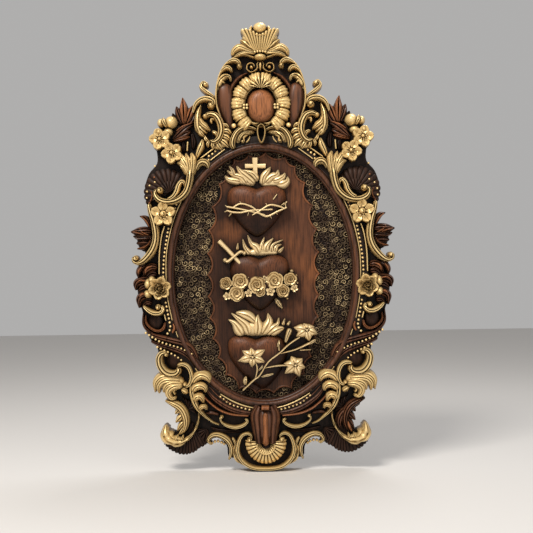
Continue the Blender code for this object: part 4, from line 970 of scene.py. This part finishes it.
def carve_foot_shell(gold, dark, brown, copper):
    """The keystone, the small arches and the shell at the bottom."""
    both(gold, ((72, -226, 4), (77, -221.5, 5), (74, -215.5, 6), (66, -213, 7), (57, -216, 8),
                (49.5, -222.5, 8), (46, -231, 7), (47, -240, 5), (50, -247, 3)), level(0.55), ribs=3,
         free=True)
    for spot in ((72.5, -224.5), (68.5, -222.5), (64, -222), (59.5, -223.5), (56, -225.5)):
        both_beads(gold, (spot,), 2.2, level(0.1))
    both(gold, ((45, -217, 3), (42, -222, 4), (39.5, -230, 3)), level(0.5), ribs=2, free=True)
    both(brown, ((0.1, -172, 8), (12, -174, 9), (16, -184, 5)), level(0.55))
    folds = ((-14, -182), (-15.5, -194), (-14.5, -207), (-12, -220), (-7, -228), (0, -231), (7, -228),
             (12, -220), (14.5, -207), (15.5, -194), (14, -182))
    fan(brown, (0, -178), folds, level(0.7), hub_share=0.9, groove=0.96)
    both(brown, ((7.5, -175, 13), (11.5, -187, 19), (10, -206, 17.5), (8.6, -224, 15)), level(0.84), ribs=3,
         groove=0.13, flat=2.2, blunt=True)
    sweep(brown, ((0, -176, 20), (0, -193, 25), (0, -208, 22), (0, -224, 20)), level(0.8), flat=4.0)
    sweep(copper, ((0, -180, 10), (0, -193, 12), (0, -208, 11.5), (0, -228, 13)), level(0.98), flat=2.2)
    sweep(copper, ((-5, -176.5, 7), (5, -176.5, 7)), level(0.98), blunt=True, flat=5.0)
    dome(dark, 0, -230, 10, level(0.45), tall=7.5, flat=3.0)
    tips = arc((0, -223), (27.5, 29), range(174, 367, 12))
    fan(gold, (0, -223), tips, level(0.68), hub_share=0.1, groove=0.97, edge_share=0.6, valley=0.16)
    sweep(gold, across_middle(((12, -225, 5), (11.5, -231, 4), (7, -236.5, 4), (0, -238.5, 4.2))),
          level(0.8))
    both(gold, ((12, -224, 4), (10, -227, 3)), level(0.75))
    rim = ((19, -218.5, 3), (19.5, -214, 4), (25, -211.5, 4.5), (32, -214.5, 5), (36.5, -224, 5.5),
           (37.5, -236, 6), (32, -248, 6), (19, -256.8, 5.6), (0, -259, 5.6))
    sweep(gold, across_middle(rim), level(0.72), ribs=2, free=True)
    both_domes(gold, 21.5, -219.5, 4, level(0.8), swirl=1.4)
    both(gold, ((36.5, -221, 3), (41, -230, 8), (41.5, -240, 9), (36, -249, 7), (29, -254, 3)), level(0.45),
         ribs=2, lobes=3, free=True)


for carve in (carve_oval, carve_crest, carve_shoulders, carve_flowers, carve_sides, carve_straps, carve_feet,
              carve_foot_shell):
    region = carve.__name__.removeprefix("carve_")
    woods = [Carving() for _ in range(4)]
    carve(*woods)
    for piece, kind, finish in zip(woods, ("gilding", "dark", "brown", "wear_and_painted_light"),
                                   (GOLD, DARK, BROWN, COPPER)):
        if piece.count:
            piece.build(f"frame_{region}_{kind}", finish, "frame")


# The panel

def spiral(u, v, grid_u, grid_v, turns, radius, hand, start, wire):
    """The height of a spiral wire with its middle at a place."""
    du = grid_u - u
    dv = grid_v - v
    out = np.hypot(du, dv)
    share = ((hand * np.arctan2(dv, du) - start) / (2 * math.pi)) % 1.0
    height = np.zeros_like(out)
    for k in range(math.ceil(turns)):
        wound = share + k
        line = 0.5 + (radius - 0.5) * wound / turns
        height = np.maximum(height, np.exp(-(((out - line) / wire) ** 2)) * (wound < turns))
    return height


def filigree():
    """The ground round the field: close curls with small tendrils, and none hidden by the field."""
    cell = 0.66
    reach = (123.0, 169.0)
    margin = 0.8
    hidden = (60, 118)
    wire_rise = 3.4
    us = np.arange(-reach[0], reach[0] + 0.01, cell)
    vs = np.arange(-reach[1], reach[1] + 0.01, cell)
    grid_u, grid_v = np.meshgrid(us, vs)
    height = np.zeros_like(grid_u)

    def stamp(u, v, strength, **shape):
        far = shape["radius"] + 2
        rows = slice(*np.searchsorted(vs, (v - far, v + far)))
        columns = slice(*np.searchsorted(us, (u - far, u + far)))
        made = spiral(u, v, grid_u[rows, columns], grid_v[rows, columns], **shape)
        height[rows, columns] = np.maximum(height[rows, columns], strength * made)

    pitch = 8.2
    for i, v in enumerate(np.arange(1 - reach[1], reach[1] - 1, pitch * 0.87)):
        for u in np.arange(1 - reach[0], reach[0] - 1, pitch) + pitch / 2 * (i % 2):
            middle = (u + rng.uniform(-0.8, 0.8), v + rng.uniform(-0.8, 0.8))
            stamp(*middle, rng.uniform(0.62, 1.0), turns=rng.uniform(1.2, 1.6), radius=rng.uniform(3.4, 4.4),
                  hand=rng.choice((-1, 1)), start=rng.uniform(0, 6.28), wire=0.8)
            for dv in (0.29, -0.29):
                middle = (u + pitch / 2 + rng.uniform(-0.6, 0.6), v + dv * pitch + rng.uniform(-0.6, 0.6))
                stamp(*middle, rng.uniform(0.4, 0.7), turns=0.7, radius=rng.uniform(1.8, 3.2),
                      hand=rng.choice((-1, 1)), start=rng.uniform(0, 6.28), wire=0.75)
    keep = (grid_u / (SIGHT[0] + margin)) ** 2 + (grid_v / (SIGHT[1] + margin)) ** 2 < 1
    keep &= (np.abs(grid_u) > hidden[0]) | (np.abs(grid_v) > hidden[1])
    made = Carving()
    rows = np.dstack((grid_u, grid_v, PANEL + 0.4 + wire_rise * height))
    first = made.add_grid(rows, height**1.5)
    across = len(us)
    for i, j in np.argwhere(keep[:-1, :-1] & keep[1:, 1:] & keep[1:, :-1] & keep[:-1, 1:]):
        a = int(first + i * across + j)
        made.faces.append((a, a + 1, a + across + 1, a + across))
    return made


def filigree_material():
    """Black ground with dull gold on the tops of the wires."""
    made, nodes, links, shader = new_material("filigree")
    patch = noise(nodes, links, 60, 3)
    tops = math_node(nodes, links, "MULTIPLY", shade_of(nodes), math_node(nodes, links, "POWER", patch, 0.8))
    shown = ramp(nodes, links, tops, ((0.0, (0.009, 0.0055, 0.0045)), (0.15, (0.032, 0.019, 0.014)),
                                      (0.36, (0.15, 0.105, 0.06)), (0.54, (0.74, 0.56, 0.30))))
    links.new(shown, shader.inputs["Base Color"])
    shader.inputs["Roughness"].default_value = 0.5
    shader.inputs["Metallic"].default_value = 0.2
    shader.inputs["Specular IOR Level"].default_value = 0.15
    return made


def scallops():
    """The smooth field's outline: cusps with a hollow arc between each two."""
    half_width, half_height = 76.0, 167.0
    hollow = 0.22
    heights = (146, 124, 93, 61, 30, 1, -28, -57, -85, -111, -134)
    right = [(half_width * (1 - (abs(v) / half_height) ** 2.5) ** 0.4, v) for v in heights]
    cusps = [(-18, 163), (5, 166), (33, 160)] + right + [(36, -154), (12, -160), (-12, -160), (-36, -154)]
    cusps = (cusps + mirrored(right)[::-1] + [(-38, 157)])[::-1]
    line = []
    for a, b in zip(cusps, cusps[1:] + cusps[:1]):
        a = Vector(a)
        run = Vector(b) - a
        inward = Vector((-run.y, run.x)) * hollow
        for i in range(10):
            t = i / 10
            line.append(tuple(a + run * t + inward * 4 * t * (1 - t)))
    return np.array(line)


def carve_field():
    """The smooth field with its raised edge, lighter where it turns, partly as wear and partly as a painted
    highlight.
    """
    made = Carving()
    edge = scallops()
    made.add([np.column_stack((edge, np.full(len(edge), depth))) for depth in (PANEL - 1, FIELD)], 0.0)
    along = np.roll(edge, -1, axis=0) - np.roll(edge, 1, axis=0)
    along /= np.linalg.norm(along, axis=1)[:, None]
    inward = np.column_stack((-along[:, 1], along[:, 0]))
    # Rows of (inset, rise, shade): the shade lightens the turning edge, partly wear and partly painted
    # highlight.
    lip = ((0, -2, 0), (0, 0.2, 0.4), (0.5, 0.8, 0.7), (1.3, 0.9, 0.6), (2.2, 0.6, 0.35), (3.2, 0.1, 0.1),
           (3.6, -1, 0))
    rings = [np.column_stack((edge + inward * inset, np.full(len(edge), FIELD + rise)))
             for inset, rise, _ in lip]
    made.add(np.stack(rings, axis=1), np.array([wear_and_highlight for _, _, wear_and_highlight in lip])[None, :], loop=True)
    return made


HEART_HALF = ((0.0, 0.0), (0.18, 0.04), (0.4, 0.14), (0.62, 0.27), (0.82, 0.43), (0.96, 0.58), (1.0, 0.73),
              (0.94, 0.88), (0.76, 0.97), (0.44, 1.0), (0.16, 0.955), (0.0, 0.925))


def heart(piece, middle, half_width, low, high, skew=0.0, painted_top_light=1.0):
    """A swelling heart, its tip moved sideways by a skew; its upper part is painted lighter and its tip darker,
    as light from above, scaled by painted_top_light.
    """
    line = spline(list(HEART_HALF) + mirrored(HEART_HALF)[-2:0:-1], loop=True, step=0.03)
    centre = 0.6
    rows = []
    shades = []
    for share, rise in ((1.0, -0.3), (1.0, 0.0), (0.985, 0.2), (0.95, 0.38), (0.89, 0.55), (0.8, 0.71),
                        (0.68, 0.83), (0.54, 0.91), (0.38, 0.96), (0.2, 0.99), (0.03, 1.0)):
        height = centre + (line[:, 1] - centre) * share
        u = middle + line[:, 0] * share * half_width + skew * (1 - height)
        v = low + height * (high - low)
        rows.append(np.column_stack((u, v, np.full(len(line), FIELD + rise * (HEART - FIELD)))))
        # Painted light: the shade rises from the tip to the shoulders, so the upper part reads lit and the tip
        # shaded.
        shades.append(np.clip(0.15 + 0.85 * painted_top_light * (height - 0.45) * 1.6, 0, 1) * (rise > 0.15))
    piece.add(rows, np.array(shades))


def tongues(piece, paths, share, fuller=1.3):
    """Flames, each from its root to its tip."""
    for k, path in enumerate(paths):
        wide = [(u, v, fuller * width) for u, v, width in path]
        sweep(piece, wide, level(share - 0.04 * (k % 3), FIELD, HEART), foot=FIELD, ribs=2, groove=0.16)


def first_heart(wood, leaf):
    """The heart with the cross, the flames and the crown of thorns."""
    heart(wood, -7.5, 40, 51, 122)
    sweep(leaf, ((-9, 126, 7.6), (-9, 142, 7.2), (-9, 157.5, 8.6)), level(0.5, FIELD, HEART), foot=FIELD,
          blunt=True, flat=6.0)
    sweep(leaf, ((-22.5, 146.5, 7.2), (-9, 146.5, 6.2), (5, 146.5, 7.2)), level(0.47, FIELD, HEART),
          foot=FIELD, blunt=True, flat=6.0)
    for body in (((-42, 131, 7), (-28, 127, 11), (-10, 123, 10)),
                 ((-1, 122, 9), (16, 124, 12), (30, 123, 9))):
        sweep(leaf, body, level(0.6, FIELD, HEART), foot=FIELD)
    tongues(leaf, (((-10, 122, 9), (-20, 131, 9), (-28, 138, 7), (-34, 147, 1)),
                   ((-20, 122, 9), (-27, 131, 8), (-38, 135, 6), (-47, 141, 1)),
                   ((-28, 125, 8), (-37, 127, 8), (-45, 129, 6), (-50, 134, 1)),
                   ((-38, 133, 5), (-39, 140, 5), (-44, 147, 1)),
                   ((-5, 127, 7), (-13, 136, 7), (-27, 141, 2)),
                   ((0, 121, 7), (2, 131, 8), (7, 138, 7), (12, 145, 1)),
                   ((4, 123, 8), (12, 131, 9), (20, 134, 8), (22, 141, 1)),
                   ((13, 125, 8), (23, 128, 9), (29, 132, 6), (31, 137, 1)),
                   ((19, 121, 7), (28, 122, 11), (34, 126, 7), (34, 132, 1))), 0.85)
    foot = level(0.75, FIELD, HEART)
    for strand in (((-48, 92, 2.2), (-30, 88.5, 2.2), (-11, 84, 2.2), (4, 80, 1.6)),
                   ((-40, 90, 2), (-29, 95.5, 2.2), (-14, 91, 2.2), (-2, 81, 2.4), (7, 78.5, 2.4),
                    (20, 84.5, 2.2), (33, 90, 1.8)),
                   ((-14, 80, 1.6), (-5, 85, 2.2), (9, 93, 2.2), (20, 92, 2.2), (31, 88, 1.8)),
                   ((-48, 87, 1.8), (-40, 84.5, 2.2), (-28, 84, 2.2), (-14, 86.5, 2.2), (0, 87, 2),
                    (14, 87.5, 1.8))):
        thick = [(u, v, 1.35 * width) for u, v, width in strand]
        sweep(leaf, thick, HEART + 2.2, foot=foot)
    for thorn in (((-45, 79), (-41, 84)), ((31, 97), (31, 88)), ((28, 92), (33, 98)), ((24, 92), (30, 96)),
                  ((-30, 99), (-27, 94)), ((-14, 95), (-16, 90)), ((-20, 79), (-18, 85)), ((4, 97), (7, 92)),
                  ((12, 75), (10, 80)), ((-50, 94), (-46, 91)), ((-51, 85), (-46, 87)),
                  ((20, 80), (18, 84))):
        sweep(leaf, [(*thorn[0], 0.8), (*thorn[1], 2.2)], HEART + 0.8, foot=foot)
    sweep(leaf, ((14, 100, 1.5), (17, 104, 1.8), (20, 108, 1.2)), HEART + 0.6, foot=foot)


def second_heart(wood, leaf):
    """The heart with the flames, the dagger and the band of roses."""
    heart(wood, -5, 40, -48, 28, painted_top_light=0.65)
    sweep(leaf, ((-20, 30, 7), (-2, 32, 12), (20, 31, 9)), level(0.6, FIELD, HEART), foot=FIELD)
    tongues(leaf, (((-17, 28, 9), (-22, 34, 6), (-25, 40, 4), (-27, 49, 1)),
                   ((-5, 28, 10), (-9, 37, 9), (-16, 43, 5), (-20.5, 54, 1)),
                   ((0, 29, 9), (-2, 38, 6), (2, 51, 1)),
                   ((4, 30, 9), (5, 39, 8), (14, 49.5, 1)),
                   ((11, 30, 7), (13, 40, 4), (27, 47, 1)),
                   ((16, 30, 8), (18, 38, 5), (25, 41, 1)),
                   ((20, 30, 5), (24, 33, 4), (28, 37.5, 1)),
                   ((-34.5, 34, 4), (-33.5, 44, 1))), 0.85)
    sweep(leaf, ((-59, 46.5, 7), (-46, 33, 6), (-31, 16, 6.4)), level(0.8, FIELD, HEART), foot=FIELD,
          blunt=True, flat=4.0)
    sweep(leaf, ((-51, 20.5, 4.5), (-47, 19, 5), (-36, 27.5, 4.6), (-30, 31.5, 5), (-25, 29.5, 4.5)),
          level(0.95, FIELD, HEART), foot=FIELD)
    for u, v in ((-51, 20.5), (-25, 29.5)):
        dome(leaf, u, v, 3.1, level(0.9, FIELD, HEART), foot=FIELD)
    for k, (u, v, radius) in enumerate(((-50, -10.5, 8), (-31, -8, 10.5), (-36, -24, 10), (-9, -13, 11),
                                        (-5, -21.5, 7), (15, -7.5, 11), (26, -21.5, 8.5), (36, -6, 8.5))):
        rose(leaf, u, v, 1.08 * radius, HEART + 4.5 - 0.4 * (k % 3), foot=HEART - 2.5, turn=1.1 * k,
             base=FIELD - 3)
    for u, v, radius in ((-49, -27.5, 5), (-20, -24, 5), (9, -22, 6), (41, -18, 5), (2, -6, 5)):
        flower(leaf, u, v, radius, HEART + 1.5, foot=HEART - 2, turn=17 * u, base=FIELD - 3)
    for u, v, radius in ((38, 4.5, 2.6), (44, -1, 1.5), (45, -11, 2), (31.5, -31.5, 1.8), (-20, -3, 2)):
        dome(leaf, u, v, radius, HEART + 1, foot=FIELD)
    for spray in (((-17, -31, 2), (-17, -27, 4.5), (-19, -22, 3)),
                  ((15, -31, 3), (20, -38.5, 7.5), (25, -45.5, 2)),
                  ((-43, -33, 2), (-44, -28, 4), (-43, -23, 2)),
                  ((31, -33, 1.5), (30, -28, 4), (28, -24, 3))):
        sweep(leaf, spray, level(0.75, FIELD, HEART), foot=FIELD, ribs=2, lobes=3)


def lily(leaf, centre, tips):
    """An open lily, each petal with a groove down its middle."""
    for k, tip in enumerate(tips):
        middle = Vector(centre).lerp(Vector(tip), 0.5)
        point = Vector(centre).lerp(Vector(tip), 1.1)
        sweep(leaf, ((*centre, 7), (*middle, 13), (*point, 0.8)), HEART + 4 + 0.8 * (k % 2),
              foot=level(0.5, FIELD, HEART), ribs=2, groove=0.14)
    for k in range(3):
        angle = 0.6 + 2.1 * k
        bead(leaf, centre[0] + 2.6 * math.cos(angle), centre[1] + 2.6 * math.sin(angle), 0.8, HEART + 3.4)
    bead(leaf, *centre, 1.6, HEART + 2.6)


def third_heart(wood, leaf):
    """The heart with the flames and the branch of lilies."""
    heart(wood, -12, 40, -153, -80, skew=9.0)
    sweep(leaf, ((-38, -70, 9), (-26, -71, 20), (-8, -72, 20), (10, -74, 14), (22, -73, 6)),
          level(0.7, FIELD, HEART), foot=FIELD)
    tongues(leaf, (((-29, -81, 12), (-35, -71, 10), (-40, -64, 6), (-48, -59, 1)),
                   ((-20, -80, 11), (-24, -68, 10), (-32, -60, 7), (-44, -50.5, 1)),
                   ((-10, -64, 5), (-19, -56, 9), (-28, -52, 8), (-38, -50, 2)),
                   ((-10, -81, 10), (-8, -70, 10), (-9, -61, 7), (-8, -53, 1)),
                   ((-3, -80, 9), (4, -69, 10), (7, -61, 7), (5, -51, 1)),
                   ((3, -80, 8), (12, -71, 8), (18, -66, 4), (20, -57.5, 1)),
                   ((8, -80, 7), (17, -74, 8), (27, -71, 3)),
                   ((25, -68, 4), (28, -58.5, 1)),
                   ((31, -68, 4), (35, -62, 1))), 0.95, 1.5)
    foot = level(0.35, FIELD, HEART)
    for branch in (((-30, -154, 2.4), (-14, -139.5, 2.8), (-7, -134, 2.8), (5, -116, 2.8), (20, -104.5, 2.8),
                    (33, -93, 2.4), (48, -83, 2.4)),
                   ((-13, -140, 2), (-10, -124, 3), (-14, -113, 2.2)),
                   ((0, -124, 2), (16, -121.5, 2.6), (32, -121, 2.2)),
                   ((21, -105, 2.2), (42, -100, 2.2), (62, -91, 3.4)),
                   ((19.5, -102, 2.4), (19, -93, 2)),
                   ((47, -101, 2), (62, -100.5, 1.3))):
        sweep(leaf, branch, HEART + 2, foot=foot)
    for bud in (((-26, -147, 3), (-26.5, -141, 6.5), (-25, -135, 2)),
                ((-6, -136, 2), (3, -134, 4.5), (12, -132, 2)),
                ((28, -91, 3), (31, -82, 6), (35, -72, 8)), ((58, -94, 2), (64, -90, 5), (69, -87, 2)),
                ((17, -97, 2), (19, -92, 4.5), (20, -87, 1.5)),
                ((-10, -128, 2), (-5, -124, 4), (-2, -119, 1.5))):
        sweep(leaf, bud, HEART + 2.6, foot=foot, ribs=2, groove=0.3)
    lily(leaf, (-16, -109), ((-34, -114), (-29, -101), (-18, -97), (0, -100), (0, -116), (-17, -122)))
    lily(leaf, (57, -74), ((41, -71), (53, -66), (66, -70), (70, -79), (60, -88), (44, -82)))
    lily(leaf, (41, -121), ((36, -110), (50, -113), (53, -124), (46, -135), (28, -131), (27, -119)))


panel_board = flat_board("panel_board", (oval(REBATE - CLEARANCE, oval_angles),), PANEL, 0.5, DARK, "panel")
filigree().build("panel_filigree", filigree_material(), "panel")
carve_field().build("panel_field", PLANK, "panel")
hearts = Carving()
gilt_hearts = Carving()
first_heart(hearts, gilt_hearts)
second_heart(hearts, gilt_hearts)
third_heart(hearts, gilt_hearts)
hearts.build("panel_hearts", HEARTWOOD, "panel")
gilt_hearts.build("panel_gilding", PALE_GOLD, "panel")


# Floor, light and camera

low = cad_box[0][2]
floor_mesh = bpy.data.meshes.new("floor")
reach = 3.0
corners = [(x * reach, y * reach, low) for x, y in ((-1, -1), (1, -1), (1, 1), (-1, 1))]
floor_mesh.from_pydata(corners, [], [(0, 1, 2, 3)])
floor = bpy.data.objects.new("floor", floor_mesh)
bpy.context.scene.collection.objects.link(floor)
floor_material, _, _, floor_shader = new_material("floor")
floor_shader.inputs["Base Color"].default_value = (0.62, 0.60, 0.58, 1.0)
floor_shader.inputs["Roughness"].default_value = 0.8
floor_mesh.materials.append(floor_material)

world = bpy.data.worlds.new("studio")
bpy.context.scene.world = world
world.use_nodes = True
background = world.node_tree.nodes["Background"]
background.inputs["Color"].default_value = (0.86, 0.85, 0.84, 1.0)
background.inputs["Strength"].default_value = 0.5


def area_light(name, place, aim, size, power, colour=(1.0, 1.0, 1.0)):
    """A soft light, turned to a point."""
    lamp = bpy.data.lights.new(name, "AREA")
    lamp.shape = "RECTANGLE"
    lamp.size, lamp.size_y = size
    lamp.energy = power
    lamp.color = colour
    made = bpy.data.objects.new(name, lamp)
    bpy.context.scene.collection.objects.link(made)
    made.location = place
    made.rotation_euler = (Vector(aim) - Vector(place)).to_track_quat("-Z", "Y").to_euler()


area_light("key", (-0.55, -1.1, 1.25), (0, 0, 0.05), (0.6, 0.45), 32, (1.0, 0.96, 0.9))
area_light("fill", (0.9, -1.2, 0.3), (0, 0, 0.0), (0.8, 0.8), 4)
area_light("rim", (0.3, 0.4, 1.0), (0, 0, 0.1), (0.6, 0.3), 5)

DISTANCE = 1.45
AIM = (0.0043, 0.0114)
ROLL = 0.85
LENS = 72.1
camera_data = bpy.data.cameras.new("camera")
camera_data.sensor_width = 36
camera_data.lens = LENS
camera = bpy.data.objects.new("camera", camera_data)
bpy.context.scene.collection.objects.link(camera)
camera.location = (AIM[0], -DISTANCE, AIM[1])
camera.rotation_euler = (math.radians(90), math.radians(ROLL), 0.0)
bpy.context.scene.camera = camera
bpy.context.scene.view_settings.view_transform = "Standard"
